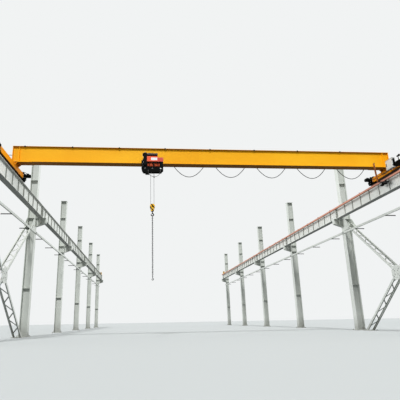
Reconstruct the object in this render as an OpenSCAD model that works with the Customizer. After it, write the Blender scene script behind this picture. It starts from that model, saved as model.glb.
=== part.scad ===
// Overhead bridge crane on its runway, standing on the floor of a hall.
// X runs across the hall, Y along the runway, Z up. The origin is on the floor,
// midway between the two runways and midway along them.

/* [Hall grid] */
// Column spacing along the runway
bay = 7500; // [6000:100:7600]
// Number of runway bays
bays = 5; // [3:1:5]
// Distance between the two rows of columns
row_spacing = 16500; // [14000:100:18000]
// Distance from a column's centre to the crane rail
rail_inset = 400; // [400:5:500]

/* [Columns] */
// Column height up to the roof seat
col_h = 9000; // [8200:50:10000]
// Column depth across the hall
col_d = 380; // [300:5:390]
// Column flange width
col_w = 320; // [260:5:380]
// Column flange thickness
col_tf = 14; // [10:1:24]
// Column web thickness
col_tw = 9; // [7:1:16]
// Base plate thickness
base_t = 30; // [20:1:50]
// Base plate overhang round the column
base_rim = 90; // [70:5:120]
// Radius of an anchor bolt hole
anchor_r = 14; // [10:1:18]

/* [Runway] */
// Height of the runway girder's top
runway_top = 6390; // [6000:10:6700]
// Runway girder depth
run_h = 610; // [500:10:700]
// Runway girder flange width
run_w = 260; // [220:5:280]
// Runway girder flange thickness
run_tf = 14; // [10:1:20]
// Runway girder web thickness
run_tw = 8; // [6:1:14]
// Number of stiffener panels in a bay
panels = 10; // [6:1:12]
// Stiffener depth from the web
stiff_w = 50; // [40:1:110]
// Stiffener plate thickness
stiff_t = 8; // [6:1:12]
// Gap between neighbouring runway girders
girder_gap = 10; // [4:1:20]
// Rail height
rail_h = 60; // [50:1:80]
// Rail head width
rail_w = 50; // [40:1:55]
// Reach of a bracket from the column's centre
bracket_reach = 700; // [680:5:760]
// Bracket depth at the column
bracket_h = 450; // [380:5:500]
// Bearing plate thickness
bearing_t = 20; // [12:1:30]

/* [Bracing] */
// Height of the tie beam's centre
tie_z = 5010; // [4700:10:5050]
// Length of a service arm under the tie
arm_len = 450; // [300:10:480]
// Channel depth of the tie and the braces
chan_h = 100; // [80:1:120]
// Channel flange width
chan_b = 50; // [40:1:60]
// Channel wall thickness
chan_t = 6; // [5:1:9]
// Height where the cross braces meet
cross_z = 2440; // [2200:10:2600]
// Rise of a cross brace for each unit along the runway
brace_slope = 0.85; // [0.8:0.01:0.9]
// Width of a lacing bar
lace_w = 50; // [30:1:60]
// Thickness of a lacing bar
lace_t = 8; // [6:1:12]

/* [Bridge] */
// Distance from the first columns to the load line
rest_from_end = 2450; // [2400:10:3600]
// Bridge girder depth
bridge_h = 670; // [560:10:760]
// Width of the box over its webs
box_w = 200; // [180:2:220]
// Bridge web thickness
web_t = 8; // [6:1:12]
// Bridge flange thickness
flange_t = 12; // [10:1:20]
// Bridge flange width
flange_w = 360; // [350:2:380]
// Distance from the load line to the bridge girder's centre
girder_offset = 450; // [440:5:480]

/* [End carriages] */
// Carriage length between its wheel blocks
carriage_len = 2600; // [2400:10:2900]
// Wheel block length
block_len = 400; // [360:5:420]
// Carriage width
carriage_w = 250; // [230:2:260]
// Carriage height
carriage_h = 220; // [200:5:240]
// Carriage wall thickness
carriage_t = 8; // [6:1:12]
// Wheel radius on the tread
wheel_r = 125; // [110:1:130]
// Wheel flange height
flange_h = 20; // [12:1:22]
// Axle radius
axle_r = 25; // [20:1:32]
// Buffer length
buffer_len = 150; // [120:5:160]

/* [Hoist] */
// Hoist centre across the hall
hoist_x = -2320; // [-4000:10:2000]
// Hoist width along the bridge
hoist_w = 860; // [800:10:900]
// Trolley wheel radius
roller_r = 60; // [50:1:62]
// Drum radius
drum_r = 108; // [95:1:112]
// Motor radius
motor_r = 70; // [60:1:72]
// Rope radius
rope_r = 5; // [4:0.5:6]
// Sheave pitch radius
sheave_r = 65; // [60:1:70]
// Height of the hook block's sheave pin at rest
block_z = 4905; // [4700:5:4950]
// Hook body radius
hook_rod_r = 18; // [14:1:22]
// Chain bar radius
chain_r = 7.5; // [6:0.5:8]
// Number of chain links
links = 50; // [20:2:50]

/* [Power supply] */
// Number of cable loops
loops = 5; // [3:1:6]
// Depth of a cable loop
loop_drop = 900; // [600:10:950]
// Cable radius
cable_r = 13; // [8:1:14]
// Conductor rail width
cond_w = 70; // [50:1:80]
// Conductor rail height
cond_h = 80; // [70:1:90]
// Festoon track size
track_w = 40; // [36:1:50]

/* [Hidden] */
$fn = 48;
run_gap = 0.3;
shaft_gap = 0.05;
safe_gap = 5;
eps = 0.01;
run_half = bay * bays / 2;
col_x = row_spacing / 2;
rail_x = col_x - rail_inset;
run_low = runway_top - run_h;
rail_top = runway_top + rail_h;
rail_end = run_half + col_w / 2;
load_y = rest_from_end - run_half;
bridge_y = load_y + girder_offset;
carriage_y = bridge_y - 400;
wheel_base = carriage_len + block_len;
axle_z = rail_top + run_gap + wheel_r;
carriage_low = axle_z - 50;
carriage_top = carriage_low + carriage_h;
seat_t = 12;
riser_h = 40;
bridge_low = carriage_top + riser_h + 2 * seat_t;
bridge_top = bridge_low + bridge_h;
tread_z = bridge_low + flange_t;
stiff_pitch = bay / panels;
cols_y = [for (i = [0:bays]) i * bay - run_half];
tow_x = hoist_x + hoist_w / 2 + 240;
clamp_x = rail_x - 675;
loop_pitch = (clamp_x - tow_x) / loops;
cable_y = bridge_y + box_w / 2 + 120;
track_z = bridge_top - flange_t - 60 - track_w;
cable_top = track_z - 75;
stop_face = run_half - 100;
trolley_left = 4500;
trolley_right = 8000;
cond_x = rail_x - run_w / 2 - 90;
cond_top = runway_top - run_tf - 42;
near_plate = -flange_w / 2 - 31;
cross_y = cols_y[0] + bay / 2;
brace_angle = atan(brace_slope);
brace_in = col_d / 2 - col_tf;
brace_up = (bay / 2 - col_w / 2 - 40) / cos(brace_angle);
brace_down = cross_z / sin(brace_angle);
drum_y = load_y - 120;
drum_z = bridge_low - 250;
head_low = bridge_low - 605;
head_high = bridge_low - 370;
head_left = -413;
head_right = 420;
head_front = load_y - 300;
head_back = load_y + 95;
pin_z = bridge_low - 464;
cover_low = drum_z + 85;
cover_shelf = drum_z + 130;
cover_high = cover_low + 231;
cover_front = load_y - 320;
cover_back = load_y + 100;
motor_z = cover_high + motor_r + 70;
plate_left = -204;
plate_right = 300;
cheek_in = 47;
cheek_t = 10;
crosshead_z = block_z - 170;
shank_r = 17;
bowl_r = 30;
bowl_z = crosshead_z - 165;
bowl_mid = bowl_r + hook_rod_r;
master_r = 9;
master_l = 90;
master_w = 48;
master_z = bowl_z - bowl_r + run_gap;
chain_in = 6 * chain_r;
chain_pitch = chain_in - run_gap;
first_link_z = master_z - master_l + run_gap;
eye_r = 9;
eye_z = first_link_z - (links - 1) * chain_pitch - chain_in + run_gap - eye_r;

// A bar of the given outline, drawn in X and Z, running along Y from y0 to y1
module along_y(y0, y1) {
  translate([0, y1, 0])
    rotate([90, 0, 0])
      linear_extrude(height = y1 - y0) children();
}

// A bar of the given outline, drawn in Y and Z, running along X from x0 to x1
module along_x(x0, x1) {
  translate([x0, 0, 0])
    rotate([90, 0, 90])
      linear_extrude(height = x1 - x0) children();
}

// A cylinder along X from x0 to x1
module rod_x(r, x0, x1) {
  translate([x0, 0, 0])
    rotate([0, 90, 0])
      cylinder(r = r, h = x1 - x0);
}

// A cylinder along Y from y0 to y1
module rod_y(r, y0, y1) {
  translate([0, y1, 0])
    rotate([90, 0, 0])
      cylinder(r = r, h = y1 - y0);
}

// A box between two opposite corners
module block(a, b) {
  translate(a)
    cube(b - a);
}

// I-section outline standing on z = 0
module i_outline(w, h, tf, tw) {
  translate([-w / 2, 0])
    square([w, tf]);
  translate([-w / 2, h - tf])
    square([w, tf]);
  translate([-tw / 2, tf])
    square([tw, h - 2 * tf]);
}

// Channel outline with its back on x = 0 and its flanges towards +x
module channel_outline() {
  translate([0, -chan_h / 2])
    square([chan_t, chan_h]);
  for (s = [-1, 1])
    translate([0, s * (chan_h - chan_t) / 2 - chan_t / 2])
      square([chan_b, chan_t]);
}

// One column with its base plate, cap plate and horizontal stiffeners
module column() {
  plate_x = col_d + 2 * base_rim;
  plate_y = col_w + 2 * base_rim;
  hole_in = base_rim / 2;
  difference() {
    translate([-plate_x / 2, -plate_y / 2, 0])
      cube([plate_x, plate_y, base_t]);
    for (sx = [-1, 1])
      for (sy = [-1, 1])
        translate([sx * (plate_x / 2 - hole_in), sy * (plate_y / 2 - hole_in), -1])
          cylinder(r = anchor_r, h = base_t + 2);
  }
  for (s = [-1, 1])
    translate([s * (col_d - col_tf) / 2 - col_tf / 2, -col_w / 2, base_t - eps])
      cube([col_tf, col_w, col_h - base_t]);
  translate([-col_d / 2 + col_tf - eps, -col_tw / 2, base_t - eps])
    cube([col_d - 2 * col_tf + 2 * eps, col_tw, col_h - base_t]);
  translate([-col_d / 2 - 20, -col_w / 2 - 20, col_h - 20])
    cube([col_d + 40, col_w + 40, 20]);
  for (z = [2240, run_low - bearing_t - bracket_h, run_low - bearing_t - 20, 7750])
    for (s = [-1, 1])
      translate([-col_d / 2 + col_tf - eps, s > 0 ? 0 : -col_w / 2 + 10, z])
        cube([col_d - 2 * col_tf + 2 * eps, col_w / 2 - 10, 12]);
  for (s = [-1, 1])
    translate([0, 0, base_t])
      along_y(s * col_w / 4 - 6, s * col_w / 4 + 6)
        for (m = [-1, 1])
          polygon([
            [m * (col_d / 2 - 1), -eps],
            [m * (col_d / 2 + base_rim - 50), -eps],
            [m * (col_d / 2 + base_rim - 50), 40],
            [m * (col_d / 2 - 1), 220]]);
}

// A row of columns on one side
module column_row(side) {
  color("white")
    for (y = cols_y)
      translate([side * col_x, y, 0])
        column();
}

// One bracket, drawn as on the left side with its reach towards +x
module bracket() {
  root = col_d / 2;
  top = run_low - bearing_t;
  tip_h = 280;
  plate = 14;
  half = 100;
  block([root, -half, top - plate], [bracket_reach, half, top]);
  along_y(-5, 5)
    polygon([
      [root, top - plate + eps],
      [root, top - bracket_h + plate - eps],
      [bracket_reach, top - tip_h + plate - eps],
      [bracket_reach, top - plate + eps]]);
  along_y(-half, half)
    polygon([
      [root, top - bracket_h],
      [root, top - bracket_h + plate],
      [bracket_reach, top - tip_h + plate],
      [bracket_reach, top - tip_h]]);
  block([bracket_reach - plate, -half, top - tip_h + 5], [bracket_reach, half, top - plate + eps]);
  for (s = [-1, 1])
    block([rail_inset - 5, s > 0 ? 4 : -half + 6, top - bracket_h * 0.8], [rail_inset + 5, s > 0 ? half - 6 : -4, top - plate + eps]);
  block([rail_inset - run_w / 2, -half + 10, top - eps], [rail_inset + run_w / 2, half - 10, run_low]);
}

module girder_brackets() {
  color("whitesmoke")
    for (side = [-1, 1])
      for (y = cols_y)
        translate([side * col_x, y, 0])
          mirror([side > 0 ? 1 : 0, 0, 0])
            bracket();
}

// One bay of runway girder from y0 to y1, centred on its rail
module girder_bay(y0, y1) {
  inner = run_h - 2 * run_tf;
  along_y(y0, y1)
    translate([0, run_low])
      i_outline(run_w, run_h, run_tf, run_tw);
  mid = (y0 + y1) / 2;
  for (i = [1:panels - 1])
    for (s = [-1, 1])
      translate([0, mid - bay / 2 + i * stiff_pitch - stiff_t / 2, run_low + run_tf - eps])
        translate([s > 0 ? run_tw / 2 - eps : -run_tw / 2 - stiff_w, 0, 0])
          cube([stiff_w + eps, stiff_t, inner + 2 * eps]);
  for (y = [y0, y1 - 14])
    translate([-run_w / 2 + 4, y, run_low + run_tf - eps])
      cube([run_w - 8, 14, inner + 2 * eps]);
}

// The runway girders of one side, one to a bay
module runway_girder(side) {
  color("gainsboro")
    translate([side * rail_x, 0, 0])
      for (i = [0:bays - 1])
        girder_bay(
          i == 0 ? -rail_end : cols_y[i] + girder_gap / 2,
          i == bays - 1 ? rail_end : cols_y[i + 1] - girder_gap / 2);
}

// Light crane rail: foot, web and head
module crane_rails() {
  foot_w = 90;
  web_w = 20;
  head_h = 22;
  color("dimgray")
    for (side = [-1, 1])
      translate([side * rail_x, 0, runway_top])
        along_y(-rail_end, rail_end)
          polygon([
            [-foot_w / 2, 0], [foot_w / 2, 0], [foot_w / 2, 7], [web_w / 2, 14],
            [web_w / 2, rail_h - head_h - 6], [rail_w / 2, rail_h - head_h], [rail_w / 2, rail_h - 4],
            [rail_w / 2 - 4, rail_h], [-rail_w / 2 + 4, rail_h], [-rail_w / 2, rail_h - 4],
            [-rail_w / 2, rail_h - head_h], [-web_w / 2, rail_h - head_h - 6],
            [-web_w / 2, 14], [-foot_w / 2, 7]]);
}

// Welded stop that straddles the rail at each end of a runway
module end_stop() {
  back = rail_end - 20;
  pad_top = carriage_top - 30;
  for (s = [-1, 1])
    translate([s * 75, 0, 0])
      along_x(-6, 6)
        polygon([
          [stop_face + 20, runway_top],
          [back, runway_top],
          [stop_face + 60, pad_top],
          [stop_face + 20, pad_top]]);
  block([-105, stop_face, rail_top + 20], [105, stop_face + 20, pad_top]);
  for (s = [-1, 1])
    block([s > 0 ? 50 : -105, stop_face, runway_top], [s > 0 ? 105 : -50, stop_face + 20 + eps, rail_top + 20 + eps]);
}

module end_stops() {
  color("gold")
    for (side = [-1, 1])
      for (far = [0, 1])
        translate([side * rail_x, 0, 0])
          mirror([0, 1 - far, 0])
            end_stop();
}

// One bay of the tie beam on the columns' inner faces, drawn with the face at x = 0
module tie_bay(a, b) {
  cleat = 10;
  along_y(a, b)
    translate([cleat + chan_b, tie_z])
      mirror([1, 0])
        channel_outline();
  for (y = [a, b - 10])
    block([cleat + eps, y, tie_z - chan_h / 2 + eps], [cleat + chan_b - eps, y + 10, tie_z + chan_h / 2 - eps]);
  for (y = [a + eps, b - 120])
    block([0, y, tie_z - 70], [cleat + eps, y + 120 - eps, tie_z + 70]);
}

module tie_strut(side) {
  over = col_w / 2 - 20;
  color("white")
    translate([side * (col_x - col_d / 2), 0, 0])
      mirror([side > 0 ? 1 : 0, 0, 0])
        for (i = [0:bays - 1])
          tie_bay(
            i == 0 ? -run_half - over : cols_y[i] + girder_gap / 2,
            i == bays - 1 ? run_half + over : cols_y[i + 1] - girder_gap / 2);
}

// Arms under the ties, three to a bay, that reach out between the columns
module tie_arms() {
  size = 40;
  inner = col_x - col_d / 2 - 60;
  top = tie_z - chan_h / 2;
  color("black")
    for (side = [0, 1])
      mirror([side, 0, 0])
        for (i = [0:bays * 3 - 1])
          translate([0, (i + 0.5) * bay / 3 - run_half, 0])
            difference() {
              block([inner, -size / 2, top - size], [inner + arm_len, size / 2, top]);
              block([inner + 5, -size / 2 + 5, top - size - 1], [inner + arm_len - 5, size / 2 + 1, top - 5]);
            }
}

// Two channels with lacing between them, along local Y from a to b, their backs at +-back
module laced_pair(a, b, lace_from, lace_to, back) {
  for (s = [0, 1])
    mirror([s, 0, 0])
      along_y(a, b)
        translate([-back, 0])
          channel_outline();
  gap = 2 * (brace_in - chan_t);
  count = floor((lace_to - lace_from) / 430);
  step = (lace_to - lace_from) / count;
  lean = atan2(step, gap);
  reach = 2 * (brace_in - 1 - lace_w / 2 * sin(lean)) / cos(lean);
  for (i = [0:count - 1])
    translate([0, lace_from + (i + 0.5) * step, 0])
      rotate([0, 0, (i % 2 == 0 ? 1 : -1) * lean])
        cube([reach, lace_w, lace_t], center = true);
}

// Places a diagonal of the first bay: up = 1 rises towards +Y, up = -1 falls
module on_diagonal(side, up) {
  translate([side * col_x, cross_y, cross_z])
    rotate([up > 0 ? brace_angle : 180 - brace_angle, 0, 0])
      children();
}

// Gusset plates in line with the column's flanges at the head of a diagonal
module head_gusset(side, yc, towards, back) {
  top = cross_z + brace_slope * (bay / 2 - col_w / 2) + 240;
  edge = yc + towards * col_w / 2;
  for (s = [0, 1])
    translate([side * col_x, 0, 0])
      mirror([s, 0, 0])
        along_x(back - eps, col_d / 2)
          polygon([
            [edge, top - 620],
            [edge + towards * 330, top - 620],
            [edge + towards * 470, top - 480],
            [edge + towards * 200, top - 120],
            [edge + towards * 80, top],
            [edge, top]]);
}

// Shoe on the floor under a diagonal's foot
module brace_shoe(side, y) {
  block([side * col_x - col_d / 2 - 40, y - 240, 0], [side * col_x + col_d / 2 + 40, y + 240, 20 + eps]);
}

// Cuts a diagonal off flat on its shoe
module on_floor(side) {
  difference() {
    children();
    block([side * col_x - 400, cross_y - 4000, -400], [side * col_x + 400, cross_y + 4000, 20]);
  }
}

foot_off = (cross_z - 20) / brace_slope;

// The diagonal that runs unbroken from its shoe to the second column's head
module brace_through(side) {
  color("white") {
    on_floor(side)
      on_diagonal(side, 1)
        laced_pair(-brace_down - 60, brace_up, -brace_down + 260, brace_up - 260, brace_in);
    head_gusset(side, cols_y[1], -1, brace_in);
    brace_shoe(side, cross_y - foot_off);
    for (s = [0, 1])
      translate([side * col_x, cross_y, cross_z])
        mirror([s, 0, 0])
          along_x(brace_in - eps, col_d / 2)
            polygon([for (a = [22.5:45:337.5]) 330 * [cos(a), sin(a)]]);
  }
}

// The crossing diagonal, in two halves that end beside the unbroken one
module brace_halves(side) {
  cross = chan_h / 2 / sin(2 * brace_angle) + chan_h / 2 / tan(2 * brace_angle) + safe_gap;
  color("white") {
    on_diagonal(side, -1)
      laced_pair(cross, brace_up, cross + 60, brace_up - 260, brace_in - eps);
    on_floor(side)
      on_diagonal(side, -1)
        laced_pair(-brace_down - 60, -cross, -brace_down + 260, -cross - 60, brace_in - eps);
    head_gusset(side, cols_y[0], 1, brace_in - eps);
    brace_shoe(side, cross_y + foot_off);
  }
}

// Insulated conductor rail below the inner edge of the right runway's top flange
module conductor_rail() {
  ends = rail_end - 60;
  slot_w = 22;
  slot_h = 42;
  color("salmon")
    translate([cond_x, 0, cond_top - cond_h])
      along_y(-ends, ends)
        polygon([
          [-cond_w / 2, 0], [-slot_w / 2, 0], [-slot_w / 2, slot_h], [slot_w / 2, slot_h], [slot_w / 2, 0],
          [cond_w / 2, 0], [cond_w / 2, cond_h - 8], [cond_w / 2 - 8, cond_h],
          [-cond_w / 2 + 8, cond_h], [-cond_w / 2, cond_h - 8]]);
  color("silver")
    for (i = [0:bays * panels / 2 - 1])
      translate([0, -run_half + (2 * i + 0.5) * stiff_pitch, 0]) {
        block([cond_x - 20, -20, runway_top - run_tf - 8], [rail_x - run_w / 2 + 60, 20, runway_top - run_tf]);
        block([cond_x - 20, -20, cond_top - 1], [cond_x + 20, 20, runway_top - run_tf - 8 + eps]);
      }
}

// Box girder with flanges wider than its webs
module bridge_girder() {
  half = rail_x + 10;
  plate_t = 12;
  edge = flange_w / 2;
  stop_l = hoist_x - trolley_left - 270 - roller_r - 40;
  stop_r = hoist_x + trolley_right + 270 + roller_r + 40;
  color("orange")
    translate([0, bridge_y, 0]) {
      difference() {
        union() {
          along_x(-half, half) {
            translate([-edge, bridge_top - flange_t])
              square([flange_w, flange_t]);
            translate([-edge, bridge_low])
              square([flange_w, flange_t]);
            translate([-box_w / 2, bridge_low])
              square([box_w, bridge_h]);
          }
          for (x = [-half, -half + 256, half - 256 - 8, half - plate_t])
            block([x, -edge + 8, bridge_low + eps], [x + plate_t, edge - 8, bridge_top - eps]);
        }
        block([-half + plate_t, -box_w / 2 + web_t, bridge_low + flange_t], [half - plate_t, box_w / 2 - web_t, bridge_top - flange_t]);
      }
      for (s = [-1, 1])
        block([s > 0 ? half - 780 : -half, -edge, bridge_low - seat_t], [s > 0 ? half : -half + 780, edge, bridge_low + eps]);
      for (x = [stop_l, stop_r])
        for (s = [-1, 1])
          block([x - 15, s > 0 ? box_w / 2 - eps : -edge, tread_z - eps], [x + 15, s > 0 ? edge : -box_w / 2 + eps, tread_z + 60]);
    }
}

// Sets a piece of an end carriage: x runs from its centre towards the hall's middle
module on_carriage(side) {
  translate([side * rail_x, carriage_y, 0])
    mirror([side > 0 ? 1 : 0, 0, 0])
      children();
}

// One end carriage: a closed box with the girder's seat on top
module end_carriage(side) {
  half = carriage_len / 2;
  inner = carriage_w / 2 - carriage_t;
  seat_y = bridge_y - carriage_y;
  color("orange")
    on_carriage(side) {
      difference() {
        block([-carriage_w / 2, -half, carriage_low], [carriage_w / 2, half, carriage_top]);
        block([-inner, -half + 15, carriage_low + carriage_t], [inner, half - 15, carriage_top - carriage_t]);
      }
      seat_z = carriage_top + riser_h;
      reach = carriage_w / 2 + 120;
      block([-carriage_w / 2, seat_y - flange_w / 2 - 40, seat_z - eps], [reach, seat_y + flange_w / 2 + 40, seat_z + seat_t]);
      for (y = [seat_y - flange_w / 2, seat_y, seat_y + flange_w / 2]) {
        block([-carriage_w / 2 + 10, y - 6, carriage_top - eps], [carriage_w / 2 - eps, y + 6, seat_z]);
        along_y(y - 6, y + 6)
          polygon([
            [carriage_w / 2 - 2 * eps, seat_z + eps],
            [reach - 10, seat_z + eps],
            [reach - 10, seat_z - 15],
            [carriage_w / 2 - 2 * eps, carriage_top - 70]]);
      }
      for (x = [-carriage_w / 2 + 10, carriage_w / 2 - 22])
        block([x, seat_y - flange_w / 2, carriage_top - eps], [x + 12, seat_y + flange_w / 2, seat_z]);
    }
}

// Wheel block bolted to each end of both carriages, open below, with bearing bosses
boss_t = 12;
module wheel_blocks() {
  low = axle_z - 100;
  high = carriage_top + 55;
  wall = 20;
  color("black")
    for (side = [-1, 1])
      for (far = [-1, 1])
        on_carriage(side)
          translate([0, far * wheel_base / 2, 0])
            difference() {
              union() {
                block([-carriage_w / 2, -block_len / 2, low], [carriage_w / 2, block_len / 2, high]);
                translate([0, 0, axle_z])
                  rod_x(66, -carriage_w / 2 - boss_t, carriage_w / 2 + boss_t);
                translate([carriage_w / 2 - 45, far * 60, high - eps])
                  cylinder(r = 28, h = 60);
              }
              block([-carriage_w / 2 + wall, -block_len / 2 + 15, low - 200], [carriage_w / 2 - wall, block_len / 2 - 15, high - 15]);
              translate([0, 0, axle_z])
                rod_x(axle_r + shaft_gap, -carriage_w, carriage_w);
            }
}

// Flanged wheel with its axle
module bridge_wheel(side, far) {
  tread = rail_w / 2 + 6;
  rim = 15;
  hub = carriage_w / 2 - 20 - safe_gap;
  axle = carriage_w / 2 + boss_t + 8;
  color("darkslategray")
    on_carriage(side)
      translate([0, far * wheel_base / 2, axle_z])
        union() {
          rod_x(wheel_r, -tread - eps, tread + eps);
          for (s = [-1, 1])
            rod_x(wheel_r + flange_h, s > 0 ? tread : -tread - rim, s > 0 ? tread + rim : -tread);
          rod_x(52, -hub, hub);
          rod_x(axle_r, -axle, axle);
        }
}

// Geared travel motor on the inboard face of each far wheel block, its axis across the hall
module travel_drives() {
  face = carriage_w / 2 + boss_t;
  gear = 58;
  motor_z = axle_z + 100;
  tail = 400;
  color("black")
    for (side = [-1, 1])
      on_carriage(side)
        translate([0, wheel_base / 2, 0]) {
          difference() {
            along_x(face, face + gear)
              polygon([
                [-50, axle_z - 85], [50, axle_z - 85], [90, axle_z - 40], [95, axle_z + 140],
                [60, axle_z + 190], [-60, axle_z + 190], [-95, axle_z + 140], [-90, axle_z - 40]]);
            translate([0, 0, axle_z])
              rod_x(axle_r + safe_gap, face - 1, face + 16);
          }
          translate([0, 0, motor_z]) {
            rod_x(70, face + gear - eps, tail - 10);
            rod_x(76, face + gear - eps, face + gear + 14);
            rod_x(76, tail - 62, tail - 12);
            rod_x(62, tail - 12 - eps, tail);
            for (i = [0:6])
              rod_x(76, face + gear + 26 + i * 16, face + gear + 31 + i * 16);
            block([face + gear + 30, -40, 60], [face + gear + 120, 40, 104]);
          }
        }
}

// Rubber buffers on the outer faces of the wheel blocks
module bridge_buffers() {
  z = carriage_low + carriage_h / 2;
  color("black")
    for (side = [-1, 1])
      for (s = [-1, 1])
        on_carriage(side)
          translate([0, 0, z])
            mirror([0, s > 0 ? 0 : 1, 0])
              translate([0, wheel_base / 2 + block_len / 2, 0]) {
                block([-75, 0, -75], [75, 14, 75]);
                rod_y(48, 14 - eps, buffer_len - 20);
                rod_y(58, buffer_len - 40, buffer_len);
              }
}

// Control cabinet on stand-offs at the right carriage, on the load side of the girder
module control_cabinet() {
  wide = 430;
  tall = 405;
  deep = 110;
  y1 = load_y + 30;
  face = rail_x - carriage_w / 2;
  x1 = face - 110;
  z0 = rail_top + 85;
  color("lightgray") {
    block([x1 - deep, y1 - wide, z0], [x1, y1, z0 + tall]);
    block([x1 - deep - 16, y1 - wide + 8, z0 + 8], [x1 - deep + eps, y1 - 8, z0 + tall - 8]);
    for (z = [z0 + 30, z0 + 150])
      for (y = [y1 - wide + 40, y1 - 80])
        block([x1 - eps, y, z], [face, y + 40, z + 30]);
  }
}

// Resistor box beside the cabinet, with a horn on a post
module resistor_box() {
  face = rail_x - carriage_w / 2;
  y0 = load_y - 760;
  z0 = carriage_low + 5;
  wide = 290;
  tall = 190;
  color("black") {
    block([face - 180, y0, z0], [face - 30, y0 + wide, z0 + tall]);
    for (y = [y0 + 40, y0 + wide - 80])
      block([face - 30 - eps, y, z0 + 70], [face, y + 40, z0 + 110]);
    block([face - 115, y0 + 130, z0 + tall - eps], [face - 95, y0 + 150, z0 + tall + 200]);
    translate([face - 105, 0, z0 + tall + 210]) {
      rod_y(30, y0 + 90, y0 + 200);
      rod_y(45, y0 + 60, y0 + 90 + eps);
    }
  }
}

collector_z = cond_top - cond_h - 130;

// Post from the girder's lower flange, and the arm that holds the current collector
module collector_arm() {
  y = bridge_y - flange_w / 2;
  top_x = cond_x - 542;
  foot_x = top_x + 60;
  color("darkorange") {
    along_y(y - 40, y)
      polygon([
        [top_x, bridge_low + 140],
        [top_x + 54, bridge_low + 140],
        [foot_x + 54, collector_z - 30],
        [foot_x, collector_z - 30]]);
    block([foot_x + 10, y - 40 + eps, collector_z - 30], [cond_x + 20, y - eps, collector_z]);
  }
}

// Current collector on the arm's end: two sprung shoes in the conductor rail's slot
module current_collector() {
  y = bridge_y - flange_w / 2;
  color("black") {
    block([cond_x - 40, y - 40, collector_z], [cond_x + 40, y + 480, collector_z + 40]);
    for (k = [0, 1]) {
      block([cond_x - 28, y + 60 + k * 220, collector_z - 50], [cond_x + 28, y + 190 + k * 220, collector_z + eps]);
      block([cond_x - 5, y + 50 + k * 220, collector_z + 40 - eps], [cond_x + 5, y + 200 + k * 220, cond_top - cond_h + 30]);
    }
  }
}

// C-shaped track behind the girder, on brackets, with the fixed cable clamp at its end
module festoon_track() {
  wall = 3;
  slot = 16;
  half = track_w / 2;
  end = rail_x - 450;
  color("silver")
    translate([0, cable_y, track_z]) {
      along_x(-end, end)
        polygon([
          [-half, 0], [-slot / 2, 0], [-slot / 2, wall], [-half + wall, wall],
          [-half + wall, track_w - wall], [half - wall, track_w - wall], [half - wall, wall],
          [slot / 2, wall], [slot / 2, 0], [half, 0], [half, track_w], [-half, track_w]]);
      for (i = [-4:4])
        block([i * end / 4.2 - 20, -120, track_w - eps], [i * end / 4.2 + 20, half, track_w + 8]);
      block([clamp_x - 32, -18, -75], [clamp_x + 32, 18, eps]);
    }
}

// One cable trolley in the track, with the saddle that holds the cable
module festoon_carrier(k) {
  wall = 3;
  ride_r = 10;
  color("dimgray")
    translate([tow_x + k * loop_pitch, cable_y, track_z]) {
      for (s = [-1, 1])
        translate([s * 30, 0, wall + run_gap + ride_r])
          rod_y(ride_r, -track_w / 2 + wall + 1, track_w / 2 - wall - 1);
      block([-42, -3, -24], [42, 3, wall + run_gap + ride_r + 4]);
      along_y(-18, 18)
        polygon([[-32, -75], [32, -75], [32, -48], [20, -24 + eps], [-20, -24 + eps], [-32, -48]]);
    }
}

// Points of one hanging loop between two saddles
function loop_point(u, x0, x1) =
  let (s = 2 * u - 1)
  [(x0 + x1) / 2 + s * (x1 - x0) / 2, cable_y, cable_top - 25 - (loop_drop - 25) * (1 - s * s)];

// A round tube through points that lie in a plane across Y
module tube(points, r, sides) {
  n = len(points);
  function tangent(i) = points[min(i + 1, n - 1)] - points[max(i - 1, 0)];
  function normal(i) = let (t = tangent(i)) [-t[2], 0, t[0]] / norm([t[0], t[2]]);
  rings = [for (i = [0:n - 1]) for (j = [0:sides - 1])
    let (a = 360 * j / sides)
    points[i] + r * cos(a) * normal(i) + r * sin(a) * [0, 1, 0]];
  walls = [for (i = [0:n - 2]) for (j = [0:sides - 1])
    let (q = (j + 1) % sides)
    [i * sides + j, i * sides + q, (i + 1) * sides + q, (i + 1) * sides + j]];
  cap0 = [[for (j = [sides - 1:-1:0]) j]];
  cap1 = [[for (j = [0:sides - 1]) (n - 1) * sides + j]];
  polyhedron(points = rings, faces = concat(walls, cap0, cap1));
}

module festoon_cable() {
  rings = 13;
  hold = 2 + cable_r;
  color("black")
    for (k = [0:loops - 1]) {
      x0 = tow_x + k * loop_pitch + hold;
      x1 = tow_x + (k + 1) * loop_pitch - hold;
      tube(concat(
        [[x0, cable_y, cable_top]],
        [for (i = [0:rings]) loop_point(i / rings, x0, x1)],
        [[x1, cable_y, cable_top]]), cable_r, 8);
    }
}

// Side plates of the trolley with their cross bars below the flange and the tow arm
module trolley_frame() {
  half = hoist_w / 2;
  low = bridge_low - 190;
  high = tread_z + 150;
  bar_z = bridge_low - 110;
  arm_z = tread_z + 20;
  color("black") {
    for (s = [0, 1])
      translate([hoist_x, bridge_y, 0])
        mirror([0, s, 0])
          along_y(near_plate, near_plate + 12)
            polygon([
              [-half, low + 90], [-half + 60, low], [half - 60, low], [half, low + 90],
              [half, high - 60], [half - 60, high], [-half + 60, high], [-half, high - 60]]);
    for (x = [hoist_x - 300, hoist_x + 250])
      translate([x, bridge_y, bar_z])
        rod_y(22, near_plate, -near_plate);
    block([hoist_x + half - 80, bridge_y - near_plate - eps, arm_z], [tow_x - 5, bridge_y - near_plate + 10, arm_z + 50]);
    block([tow_x - 35, cable_y - 9 - eps, arm_z], [tow_x - 5, cable_y + 18, cable_top + 35]);
    block([tow_x - 35, cable_y - 18, cable_top], [tow_x + 30, cable_y + 18, cable_top + 35]);
  }
}

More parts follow.
